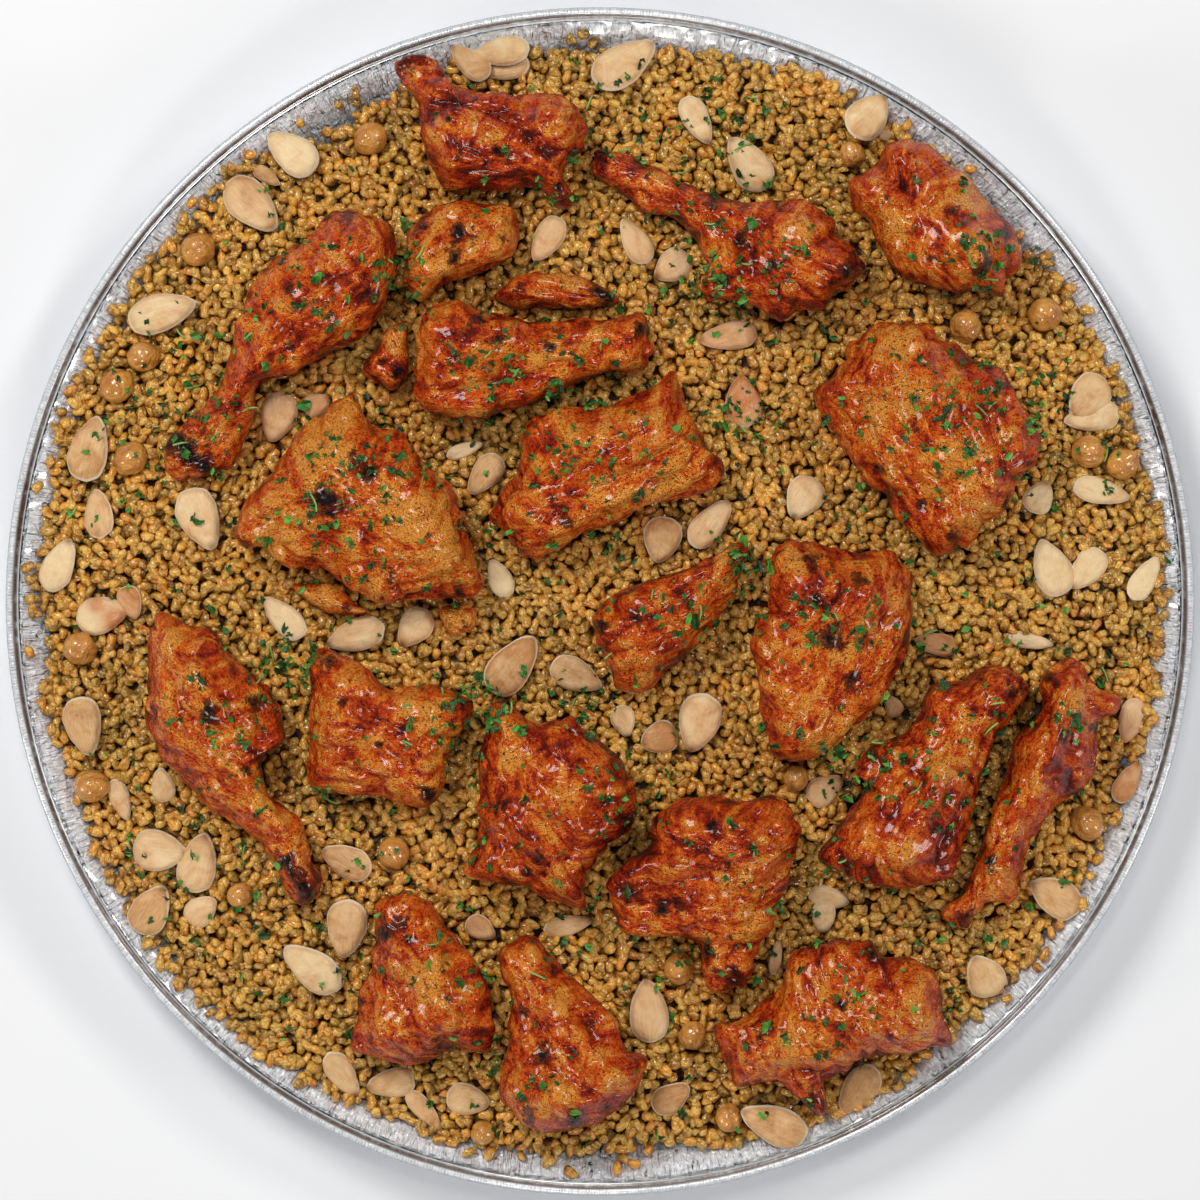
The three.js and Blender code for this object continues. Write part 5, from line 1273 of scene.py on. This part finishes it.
def kernel_places(props, draw):
    """Where kernels lie: two layers on a triangular lattice, each centre moved at random by part of a step.

    A layer keeps what is on the bed or just past its edge, and what isn't far under a piece of chicken.
    The upper layer's height follows clumps a few kernels wide, and no kernel lies below the tray's foil.
    Strays lie loose on the wall, all round and in drifts.
    """
    layers = []
    for widening, sunk, clump, kept in KERNEL_LAYERS:
        step = props.spacing * widening
        rows = np.arange(-BED_RADIUS, BED_RADIUS, step * np.sqrt(0.75))
        y, x = np.meshgrid(rows, np.arange(-BED_RADIUS, BED_RADIUS, step), indexing="ij")
        x = x + (np.arange(len(rows)) % 2)[:, None] * step / 2
        xy = np.column_stack([x.ravel(), y.ravel()]) + draw.normal(0, step * 0.24, (x.size, 2))
        edge = edge_radius(np.arctan2(xy[:, 1], xy[:, 0])) + draw.normal(props.overhang, 1.1, len(xy))
        xy = xy[np.hypot(*xy.T) < edge]
        xy = xy[chicken_distance(xy) > kept]
        height = bed_height(*xy.T) - sunk
        height += clump * rough_noise(flat(xy), 8, 71, 2) + draw.normal(0, 0.4, len(xy))
        height = np.maximum(height - nut_dent(xy), tray_under(xy) + 1.5)
        layers.append(np.column_stack([xy, height]))
    angle = [draw.uniform(0, 2 * pi, props.strays)]
    angle += [draw.normal(middle, spread, number) for number, middle, spread, _, _ in STRAY_DRIFTS]
    out = [draw.uniform(*STRAY_RADII, props.strays)]
    out += [draw.uniform(low, high, number) for number, _, _, low, high in STRAY_DRIFTS]
    angle, out = np.concatenate(angle), np.concatenate(out)
    return np.vstack([*layers, np.column_stack([around(out, angle), tray_height(out) + 1.4])])


def kernel_tints(places, props, draw):
    """Each kernel's own colour: a palette entry, leaning to sauce by the pools and the chicken, in random
    patches, painted lighter near the chicken against its shadow, and painted darker as shade when deep.
    """
    palette = np.array([props.kernel_a, props.kernel_b, props.kernel_c, props.kernel_d, props.kernel_e])
    tint = palette[draw.choice(5, len(places), p=PALETTE_SHARES)]
    xy, plan = places[:, :2], flat(places[:, :2])
    off = chicken_distance(xy)
    wet = spots(xy, SAUCE_POOLS) * 0.8
    wet += 0.35 * smoothstep(7, 0, off)
    wet += 0.3 * smoothstep(0.1, 0.7, rough_noise(plan, 30, 91, 2))
    wet = np.clip(wet * draw.uniform(0.3, 1.0, len(places)), 0, 0.8)[:, None]
    tint = tint * (1 - wet) + np.array(props.sauce) * wet
    patches_and_painted_shading = 1 + 0.28 * rough_noise(plan, 16, 93, 2)
    # Painted light: kernels within 30 mm of the chicken are painted lighter, against the chicken's shadow.
    patches_and_painted_shading = patches_and_painted_shading * (1 + 0.3 * smoothstep(30, 4, off))
    # Painted shade: kernels that lie deep under the bed's surface are painted darker.
    patches_and_painted_shading = patches_and_painted_shading * (1 - 0.6 * smoothstep(1.4, 3.4, bed_height(*xy.T) - places[:, 2]))
    tint = tint * patches_and_painted_shading[:, None] * draw.lognormal(0, 0.19, (len(places), 1))
    return tint * np.minimum(1, BRIGHTEST / tint.max(axis=1, keepdims=True))


def core_piece():
    """The grain below the kernels: the bed's own surface a little way down, on rings, and a base.

    Ring radii run evenly to just inside the ragged edge; the height is the bed's less the depth, plus
    noise, and never below the tray. The base follows a little above the tray's wall and floor, so the
    whole is closed.
    """
    angle = np.linspace(0, 2 * pi, CORE_SIDES, endpoint=False)
    limit = edge_radius(angle) - CORE_INSET

    def rings(shares):
        """Radius and ground plan of rings at shares of the way to the edge."""
        radius = (shares[:, None] * limit[None]).ravel()
        return radius, around(radius, np.tile(angle, len(shares)))

    radius, xy = rings(np.linspace(0, 1, CORE_RINGS + 1)[1:])
    top = bed_height(*xy.T) - CORE_DEPTH + 0.7 * rough_noise(flat(xy), 6, 17, 2)
    top = np.maximum(top, tray_height(radius) + CORE_COVER)
    low_radius, low_xy = rings(np.array(CORE_BASE))
    low = tray_height(low_radius) + CORE_GAP
    poles = [(0, 0, bed_height(0, 0) - CORE_DEPTH), (0, 0, TRAY_FOIL + CORE_GAP)]
    points = np.vstack([np.column_stack([xy, top]), np.column_stack([low_xy, low]), poles])
    return points, *shell_faces(CORE_RINGS + len(CORE_BASE), CORE_SIDES)


def almond_piece(length, width, seed):
    """One almond half, flat face up, tip on +X: rings from the face's middle to its rim and back under.

    Round the half the width follows sin a * (1 - 0.32 cos a) and the length cos a. The face's height falls
    from its middle as 1 - 0.12 s^2 - 0.54 s^9, s being the share of the way to the rim, and the back is a
    bowl, 0.34 s^2. Noise dents the face and nicks the rim.
    """
    angle = np.linspace(0, 2 * pi, ALMOND_SIDES, endpoint=False)
    thick = 0.34 * width
    s = np.array(ALMOND_FACE + ALMOND_BACK)[:, None]
    nick = 1 + 0.035 * noise(flat(around(3, angle)), 1.1, seed)
    x = s * np.cos(angle) * length / 2 * nick
    y = s * np.sin(angle) * (1 - 0.32 * np.cos(angle)) * width / 2 * nick
    face = thick * (1 - 0.12 * s**2 - 0.54 * s**9)
    below = np.arange(len(s))[:, None] >= len(ALMOND_FACE)
    spot = np.column_stack([x.ravel(), y.ravel() * 2.2, np.full(x.size, seed * 3.7)])
    dent = rough_noise(spot, 5, seed, 2).reshape(x.shape)
    z = np.where(below, 0.34 * thick * s**2, face + (1 - s**6) * 0.3 * dent)
    points = np.column_stack([x.ravel(), y.ravel(), z.ravel()])
    points = np.vstack([points, [(0, 0, thick), (0, 0, 0)]])
    uv = points[:, :2] / [length, width] + 0.5 + [seed * 0.37, seed * 0.11]
    # The rim band, where the cream cut edge is painted bright as a highlight.
    rim = np.repeat(smoothstep(0.9, 0.975, s), ALMOND_SIDES)
    tip = np.exp(-(((points[:, 0] - length * 0.47) / 1.5) ** 2 + (points[:, 1] / 1.4) ** 2))
    return points, *shell_faces(len(s), ALMOND_SIDES), uv, np.append(rim, [0, 1]), tip


def laid_on_bed(points, x, y, heading, sink, step=4):
    """Turns a piece to its heading, leans it with the bed's slope, and lifts it to rest on what is under."""
    slope_x = (bed_height(x + step, y) - bed_height(x - step, y)) / (2 * step)
    slope_y = (bed_height(x, y + step) - bed_height(x, y - step)) / (2 * step)
    up = np.array([-slope_x, -slope_y, 1])
    up = up / np.linalg.norm(up)
    axis = np.array([-up[1], up[0], 0])
    sine = np.linalg.norm(axis)
    axis = axis / max(sine, 1e-9)
    c, s = np.cos(radians(heading)), np.sin(radians(heading))
    points = points @ np.array([[c, -s, 0], [s, c, 0], [0, 0, 1]]).T
    points = points * up[2] + np.cross(axis, points) * sine + np.outer(points @ axis, axis) * (1 - up[2])
    points = points + [x, y, 0]
    under = np.maximum(bed_height(*points[:, :2].T) - sink, tray_under(points))
    return points + [0, 0, max(0, np.max(under + REST_GAP - points[:, 2]))]


def chickpea_shape(radius, seed):
    """A cooked chickpea: a ball whose radius swells to a beak on +X and is split by a shallow cleft."""
    fall = np.linspace(0, pi, PEA_ROWS + 2)[1:-1]
    turn = np.linspace(0, 2 * pi, PEA_SIDES, endpoint=False)
    t, angle = np.meshgrid(fall, turn, indexing="ij")
    way = np.stack([np.sin(t) * np.cos(angle), np.sin(t) * np.sin(angle), np.cos(t)], axis=-1).reshape(-1, 3)
    way = np.vstack([way, [(0, 0, 1), (0, 0, -1)]])
    beak = np.exp((way[:, 0] - 1) * 14) * 0.2
    cleft = np.exp(-((way[:, 1] / 0.13) ** 2)) * smoothstep(-0.2, 0.7, way[:, 2] + way[:, 0] * 0.6)
    bumps = 0.05 * rough_noise(way * 4 + seed * 9.1, 2.2, seed, 2)
    points = way * radius * (0.97 + beak - 0.07 * cleft + bumps)[:, None] * [1.02, 0.97, 0.94]
    return points, *shell_faces(PEA_ROWS, PEA_SIDES), cleft


def leaf_shapes(draw):
    """Kinds of chopped leaf: a thin closed star of ragged points, folded along its middle."""
    turn = np.arange(LEAF_POINTS) * 2 * pi / LEAF_POINTS
    shapes = []
    for _ in range(LEAF_KINDS):
        radius = 0.5 * draw.uniform(0.3, 1.25, LEAF_POINTS)
        angle = turn + draw.uniform(-0.25, 0.25, LEAF_POINTS)
        x, y = radius * np.cos(angle), radius * np.sin(angle) * draw.uniform(0.35, 0.75)
        z = draw.uniform(0.2, 1.1) * np.abs(y) + draw.normal(0, 0.1, LEAF_POINTS)
        over = np.vstack([np.column_stack([x, y, z + 0.05]), [(0, 0, 0.05)]])
        shapes.append(np.vstack([over, over - [0, 0, 0.1]]))
    side = np.arange(LEAF_POINTS)
    after = (side + 1) % LEAF_POINTS
    low = LEAF_POINTS + 1
    wall = np.stack([side, side + low, after + low, after], axis=1)
    caps = np.vstack([fan(LEAF_POINTS, 0, LEAF_POINTS, True), fan(2 * low - 1, low, LEAF_POINTS, False)])
    return np.array(shapes), wall, caps


def stem_shapes(count, draw):
    """Chopped stems along X: a rod of four sides and four rings, bent to an arc, and closed at its ends."""
    t, turn = np.meshgrid(np.linspace(-0.5, 0.5, 4), np.arange(4) * pi / 2, indexing="ij")
    length = draw.uniform(3, 7, count)[:, None, None]
    bend = draw.uniform(-0.12, 0.12, count)[:, None, None]
    x = t[None] * length
    y = STEM_RADIUS * np.cos(turn)[None] + bend * t[None] ** 2 * length * 4
    z = STEM_RADIUS * np.sin(turn)[None] * np.ones_like(x)
    rods = np.stack([x, y, z], axis=-1).reshape(count, -1, 3)
    ends = np.stack([rods[:, :4].mean(1), rods[:, -4:].mean(1)], axis=1)
    return np.concatenate([rods, ends], axis=1), *shell_faces(4, 4, False)


def sky_cell(xy):
    """The skyline's cell that each place lies in."""
    return tuple(np.clip(((xy + RIM_RADIUS) / SKY_CELL).astype(int), 0, SKY_CELLS - 1).T)


def skyline():
    """Height of the highest food in each cell of a square grid over the tray, spread to its neighbours."""
    top = np.zeros((SKY_CELLS, SKY_CELLS))
    for piece in bpy.data.objects:
        if piece.get("on_top"):
            points = points_of(piece)
            np.maximum.at(top, sky_cell(points[:, :2]), points[:, 2])
    shifts = [np.roll(top, (i, j), axis=(0, 1)) for i in (-1, 0, 1) for j in (-1, 0, 1)]
    middle = (np.arange(SKY_CELLS) + 0.5) * SKY_CELL - RIM_RADIUS
    return np.maximum(np.max(shifts, axis=0), tray_height(np.hypot(*np.meshgrid(middle, middle))))


# Sizes and colours that a user would change.
def colour_prop(name, description, code):
    return FloatVectorProperty(name=name, description=description, subtype="COLOR", size=3, min=0.0, max=1.0,
                               default=paint(code))


def size_prop(name, description, default, **more):
    return FloatProperty(name=name, description=description, default=default, **more)


def count_prop(name, description, default, **more):
    return IntProperty(name=name, description=description, default=default, **more)


class TrayProps(bpy.types.PropertyGroup):
    steps: count_prop("Steps", "Points round the tray", 1404, min=360)
    knurls: count_prop("Knurls", "Ticks round the bead", 1180)
    pleat_depth: size_prop("Pleat depth", "Half a pleat's depth, mm", 0.18)
    knurl_depth: size_prop("Tick depth", "A tick's depth, mm", 0.1)
    foil: colour_prop("Foil", "Bare foil", "f2f8ff")
    # Dark grey painted as reflection and shade in the foil's low creases, and as shade in its lip and on the
    # ticks.
    foil_shade: colour_prop("Foil shade", "Foil where its creases turn away", "56585a")
    oil: colour_prop("Oil", "Brown cooking oil on the foil", "4e3214")


class ChickenProps(bpy.types.PropertyGroup):
    # Deep is the colour that painted shade on the sides and in folds runs down to, and of dark patches and
    # specks.
    deep: colour_prop("Deep", "Skin in folds and on the sides", "521206")
    red: colour_prop("Red", "Darker roast skin", "9a2206")
    orange: colour_prop("Orange", "Middle roast skin", "cc460a")
    amber: colour_prop("Amber", "Lighter roast skin", "e26c18")
    gold: colour_prop("Gold", "Lightest skin", "ee9a3c")
    char: colour_prop("Char", "Charred skin", "190704")


class GrainProps(bpy.types.PropertyGroup):
    spacing: size_prop("Spacing", "Kernel to kernel on top, mm", 3.3)
    length: size_prop("Length", "Mean length of a kernel, mm", 5.0)
    width: size_prop("Width", "Mean width of a kernel, mm", 3.4)
    overhang: size_prop("Overhang", "Kernels past the bed's edge, mm", 3.4)
    strays: count_prop("Strays", "Kernels lying loose on the wall", 90)
    kernel_a: colour_prop("Kernel A", "Commonest kernel", "d08a28")
    kernel_b: colour_prop("Kernel B", "Pale kernel", "eab250")
    kernel_c: colour_prop("Kernel C", "Olive kernel", "a47622")
    kernel_d: colour_prop("Kernel D", "Brown kernel", "92561a")
    kernel_e: colour_prop("Kernel E", "Orange kernel", "d27e2a")
    sauce: colour_prop("Sauce", "Grain stained by the juices", "b8691c")
    # A dark brown used only as painted shade: along the kernels' creases and on the deep grain in the gaps.
    painted_shade_brown: colour_prop("Husk", "Dark husk and deep grain", "4c2806")
    # Colour of the painted highlights: pale patches on the kernels and the paled tops of kernels.
    highlight: colour_prop("Highlight", "Bran showing pale", "f6c868")


class ToppingProps(bpy.types.PropertyGroup):
    pale: colour_prop("Almond", "Almond face where it is palest", "f4d8a8")
    tan: colour_prop("Tan", "Almond face", "e0b27c")
    toasted: colour_prop("Toasted", "Almond face where it is toasted", "bc8248")
    # A cream cut edge, painted brighter than it is as a highlight on the almond's rim.
    rim: colour_prop("Rim", "Almond's cut rim", "fff0d4")
    scorch: colour_prop("Scorch", "Almond's tip", "7a3a18")
    glaze: colour_prop("Glaze", "Juices on an almond", "c4651c")
    chickpea: colour_prop("Chickpea", "Chickpea", "e2a24a")
    chickpea_dark: colour_prop("Chickpea cleft", "Chickpea's cleft and shade", "b8722c")
    leaf_dark: colour_prop("Parsley dark", "Darkest parsley", "173d14")
    leaf: colour_prop("Parsley", "Parsley", "2f6a26")
    leaf_light: colour_prop("Parsley light", "Lightest parsley", "5a9b3c")
    stem: colour_prop("Stem", "Parsley stem", "8cba60")
    leaf_size: size_prop("Leaf size", "Mean size of a flake, mm", 2.5)
    stems: count_prop("Stems", "Number of chopped stems", 60)


class StageProps(bpy.types.PropertyGroup):
    distance: size_prop("Camera height", "Camera over the rim", 1.87, unit="LENGTH")
    lens: size_prop("Lens", "Focal length, mm", 164.4)
    light: size_prop("Light", "Light of all the soft boxes", 0.95)
    sky: size_prop("Sky", "Strength of the even light", 0.08)


def settings(name):
    """The scene's own settings for one group of pieces."""
    return getattr(bpy.context.scene, "freekeh_" + name)


class FREEKEH_OT_tray(bpy.types.Operator):
    """Makes the round foil tray with its ticked bead, pleated band and creased wall"""
    bl_idname = "freekeh.tray"
    bl_label = "Foil tray"

    def execute(self, context):
        props = settings("tray")
        points, quads, caps, values = tray_piece(props)
        tray = make_piece("foil_tray_pressed", points, quads, caps, foil_finish(props), values)
        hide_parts("foil_tray")
        return {"FINISHED"}


class FREEKEH_OT_grain(bpy.types.Operator):
    """Heaps the cooked kernels on a core of deep grain"""
    bl_idname = "freekeh.grain"
    bl_label = "Freekeh"

    def execute(self, context):
        props = settings("grain")
        draw = np.random.default_rng(20)
        core = make_piece("freekeh_core", *core_piece(), core_finish(props))
        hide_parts("freekeh_heap")
        finish = kernel_finish(props)
        shapes, groove_shade_and_tips, quads, caps = kernel_shapes(draw)
        places = kernel_places(props, draw)
        count = len(places)
        kinds = draw.integers(0, KERNEL_KINDS, count)
        sizes = zip((props.length, props.width, props.width * 0.95), KERNEL_SPREAD)
        sizes = np.stack([draw.normal(mean, spread, count) for mean, spread in sizes], axis=1)
        bodies = tumbled(shapes[kinds] * sizes[:, None, :], KERNEL_TILT, draw) + places[:, None, :]
        lift = np.max(tray_under(bodies) + FOIL_GAP - bodies[..., 2], axis=1)
        bodies[..., 2] += np.maximum(lift, 0)[:, None]
        tints = kernel_tints(places, props, draw)
        rise = (bodies[..., 2] - bodies[..., 2].mean(axis=1, keepdims=True)) / (0.5 * props.width)
        # Painted shade: each kernel darker towards its own underside; below, a painted highlight pales its
        # top.
        underside_shade = smoothstep(-0.7, 0.75, rise)[..., None]
        underside_shade = underside_shade + (1 - underside_shade) * np.array(UNDERSIDE_SHADE)
        # The kind's painted groove shade and darker tips darken the tint, as does the painted underside
        # shade.
        tint = tints[:, None, :] * (1 - 1.3 * groove_shade_and_tips[kinds])[..., None] * underside_shade
        tint = tint + TOP_HIGHLIGHT * smoothstep(0.3, 1.0, rise)[..., None] * (np.array(props.highlight) - tint)
        tint = np.clip(tint, 0, 1)
        for batch, chosen in enumerate(np.array_split(np.arange(count), KERNEL_PIECES)):
            kernels = strewn(f"freekeh_kernels_{batch + 1}", bodies[chosen], quads, caps, finish,
                             tint[chosen].reshape(-1, 3))
            kernels["on_top"] = True
        return {"FINISHED"}


class FREEKEH_OT_chicken(bpy.types.Operator):
    """Lays the roast chicken pieces, each over its own solid"""
    bl_idname = "freekeh.chicken"
    bl_label = "Roast chicken"

    def execute(self, context):
        finish = skin_finish(settings("chicken"))
        for place, (name, piece) in enumerate(CHICKEN.items()):
            points, quads, triangles, values, uv = chicken_piece(piece, 100 * place + 7)
            skin = make_piece(name + "_skin", points, quads, triangles, finish, values, uv)
            skin["on_top"] = True
            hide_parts(name)
        return {"FINISHED"}


class FREEKEH_OT_almonds(bpy.types.Operator):
    """Lays the almond halves on the grain, and sinks the smaller ones into it"""
    bl_idname = "freekeh.almonds"
    bl_label = "Almonds"

    def execute(self, context):
        finish = almond_finish(settings("topping"))
        draw = np.random.default_rng(33)
        pools = [(x, y, 18) for x, y, _ in SAUCE_POOLS]
        laid = [(*row, 0, True) for row in ALMONDS] + [(*row, SUNK_DEPTH, False) for row in SUNK_ALMONDS]
        laid += [(*row, BIT_DEPTH, False) for row in ALMOND_BITS]
        sunk = []
        for place, (x, y, heading, length, width, sink, own) in enumerate(laid):
            points, quads, caps, uv, rim, tip = almond_piece(length, width, place + 3)
            points = laid_on_bed(points, x, y, heading, sink)
            glaze = 0.35 * spots(points, pools) + spots(points, GLAZED)
            values = {
                "rim": rim, "scorch": tip * draw.uniform(0.1, 0.9), "glaze": np.clip(glaze, 0, 0.7),
                "toast": draw.uniform(*TOAST) + 0.12 * (1 - rim),
            }
            if own:
                name = f"almond_{place + 1:02d}"
                nut = make_piece(name + "_half", points, quads, caps, finish, values, uv)
                nut["on_top"] = True
                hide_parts(name)
            else:
                sunk.append((points, quads, caps, values, uv))
        nut = joined("almonds_sunk", sunk, finish)
        return {"FINISHED"}


class FREEKEH_OT_chickpeas(bpy.types.Operator):
    """Sinks the chickpeas into the grain"""
    bl_idname = "freekeh.chickpeas"
    bl_label = "Chickpeas"

    def execute(self, context):
        draw = np.random.default_rng(44)
        shapes = []
        for place, (x, y, radius) in enumerate(CHICKPEAS):
            points, quads, caps, cleft = chickpea_shape(radius, place + 2)
            points = points @ turned(1, PEA_TILT, draw)[0].T
            points = points + [x, y, bed_height(x, y) + 0.2 * radius]
            shapes.append((points, quads, caps, {"cleft": cleft * 0.8}, points[:, :2]))
        peas = joined("chickpeas", shapes, chickpea_finish(settings("topping")))
        return {"FINISHED"}


class FREEKEH_OT_parsley(bpy.types.Operator):
    """Strews chopped parsley leaves and stems over all"""
    bl_idname = "freekeh.parsley"
    bl_label = "Parsley"

    def execute(self, context):
        props = settings("topping")
        draw = np.random.default_rng(55)
        finish = parsley_finish()
        top = skyline()
        spread = [draw.normal((x, y), reach * 0.5, (int(flakes * DRIFT_SHARE), 2))
                  for x, y, reach, flakes in PARSLEY_DRIFTS]
        angle, out = draw.uniform(0, 2 * pi, LOOSE_FLAKES), draw.uniform(0, 1, LOOSE_FLAKES)
        places = np.vstack([*spread, around(LOOSE_REACH * np.sqrt(out), angle)])
        places = np.vstack([places[np.hypot(*places.T) < DRIFT_REACH], RIM_FLAKES])
        places = np.repeat(places, draw.integers(1, 4, len(places)), axis=0)
        places = places + draw.normal(0, 0.9, places.shape)
        shapes, quads, caps = leaf_shapes(draw)
        count = len(places)
        sizes = props.leaf_size * draw.lognormal(0, 0.33, count)
        bodies = tumbled(shapes[draw.integers(0, LEAF_KINDS, count)] * sizes[:, None, None], LEAF_TILT, draw)
        bodies = bodies + np.column_stack([places, top[sky_cell(places)] - 0.1])[:, None, :]
        palette = np.array([props.leaf_dark, props.leaf, props.leaf_light])
        tint = palette[draw.choice(3, count, p=LEAF_SHARES)] * draw.lognormal(0, 0.2, (count, 1))
        tint = np.repeat(np.clip(tint, 0, 1), bodies.shape[1], axis=0)
        leaves = strewn("parsley_leaves", bodies, quads, caps, finish, tint, smooth=False)

        at = draw.choice(len(places), props.stems, replace=False)
        at = places[at] + draw.normal(0, 3, (props.stems, 2))
        at = at[np.hypot(*at.T) < LOOSE_REACH]
        rods, quads, caps = stem_shapes(len(at), draw)
        rods = tumbled(rods, STEM_TILT, draw)
        rods = rods + np.column_stack([at, top[sky_cell(at)] + 0.15])[:, None, :]
        tint = np.array(props.stem) * draw.uniform(0.7, 1.1, (len(at), 1))
        tint = np.repeat(tint, rods.shape[1], axis=0)
        stems = strewn("parsley_stems", rods, quads, caps, finish, tint)
        return {"FINISHED"}


class FREEKEH_OT_stage(bpy.types.Operator):
    """Sets the pale floor, the soft lights and the camera overhead"""
    bl_idname = "freekeh.stage"
    bl_label = "Stage"

    def execute(self, context):
        props = settings("stage")
        scene = context.scene
        mesh = bpy.data.meshes.new("pale_floor")
        square = ((-1, -1), (1, -1), (1, 1), (-1, 1))
        corners = [(x * FLOOR_HALF, y * FLOOR_HALF, FLOOR_LEVEL) for x, y in square]
        mesh.from_pydata(corners, [], [(0, 1, 2, 3)])
        floor = bpy.data.objects.new("pale_floor", mesh)
        scene.collection.objects.link(floor)
        make = Finish("pale_floor")
        speckle = make.ramp(make.noise(6, 2), (0.3, paint("f2f5fa")), (0.7, paint("f4f7fc")))
        mesh.materials.append(make.done(speckle, None, 0.9))
        for name, azimuth, elevation, side, share in SOFT_BOXES:
            self.light(name, radians(azimuth), radians(elevation), side, share * props.light)
        world = bpy.data.worlds.new("studio")
        world.use_nodes = True
        sky = world.node_tree.nodes["Background"].inputs
        sky["Color"].default_value = (1, 1, 1, 1)
        sky["Strength"].default_value = props.sky
        scene.world = world
        lens = bpy.data.cameras.new("overhead")
        lens.lens = props.lens
        lens.sensor_width = SENSOR
        lens.clip_end = CLIP_END
        camera = bpy.data.objects.new("overhead", lens)
        camera.location = (0, CAMERA_SHIFT, RIM_HEIGHT * MM + props.distance)
        scene.collection.objects.link(camera)
        scene.camera = camera
        scene.view_settings.view_transform = "Standard"
        return {"FINISHED"}

    @staticmethod
    def light(name, azimuth, elevation, side, shine):
        """A square soft box that faces the tray's middle and lights a white floor there to its shine."""
        lamp = bpy.data.lights.new(name, "AREA")
        lamp.energy = shine * (pi * LIGHT_DISTANCE) ** 2 / np.sin(elevation)
        lamp.size = side
        lamp.color = LIGHT_COLOUR
        source = bpy.data.objects.new(name, lamp)
        level = np.cos(elevation)
        way = np.array([level * np.cos(azimuth), level * np.sin(azimuth), np.sin(elevation)])
        source.location = LIGHT_DISTANCE * way
        source.rotation_euler = (-source.location).to_track_quat("-Z", "Y").to_euler()
        bpy.context.scene.collection.objects.link(source)


class FREEKEH_PT_pieces(bpy.types.Panel):
    """Lists the pieces and the sizes and colours that they are made with"""
    bl_idname = "FREEKEH_PT_pieces"
    bl_label = "Freekeh"
    bl_space_type = "VIEW_3D"
    bl_region_type = "UI"
    bl_category = "Freekeh"

    def draw(self, context):
        for group, pieces in PANEL_ORDER:
            box = self.layout.box()
            for piece in pieces:
                box.operator("freekeh." + piece)
            for key in settings(group).bl_rna.properties.keys():
                if key not in ("rna_type", "name"):
                    box.prop(settings(group), key)


PANEL_ORDER = (
    ("tray", ("tray",)), ("grain", ("grain",)), ("chicken", ("chicken",)),
    ("topping", ("almonds", "chickpeas", "parsley")), ("stage", ("stage",)),
)
GROUPS = {"tray": TrayProps, "grain": GrainProps, "chicken": ChickenProps, "topping": ToppingProps,
          "stage": StageProps}
CLASSES = (
    *GROUPS.values(), FREEKEH_OT_tray, FREEKEH_OT_grain, FREEKEH_OT_chicken, FREEKEH_OT_almonds,
    FREEKEH_OT_chickpeas, FREEKEH_OT_parsley, FREEKEH_OT_stage, FREEKEH_PT_pieces,
)


def register():
    for kind in CLASSES:
        bpy.utils.register_class(kind)
    for name, group in GROUPS.items():
        setattr(bpy.types.Scene, "freekeh_" + name, PointerProperty(type=group))


def unregister():
    for name in GROUPS:
        delattr(bpy.types.Scene, "freekeh_" + name)
    for kind in reversed(CLASSES):
        bpy.utils.unregister_class(kind)


def main():
    """Registers the classes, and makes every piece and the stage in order."""
    register()
    for _, pieces in PANEL_ORDER:
        for piece in pieces:
            getattr(bpy.ops.freekeh, piece)()


if __name__ == "__main__":
    main()
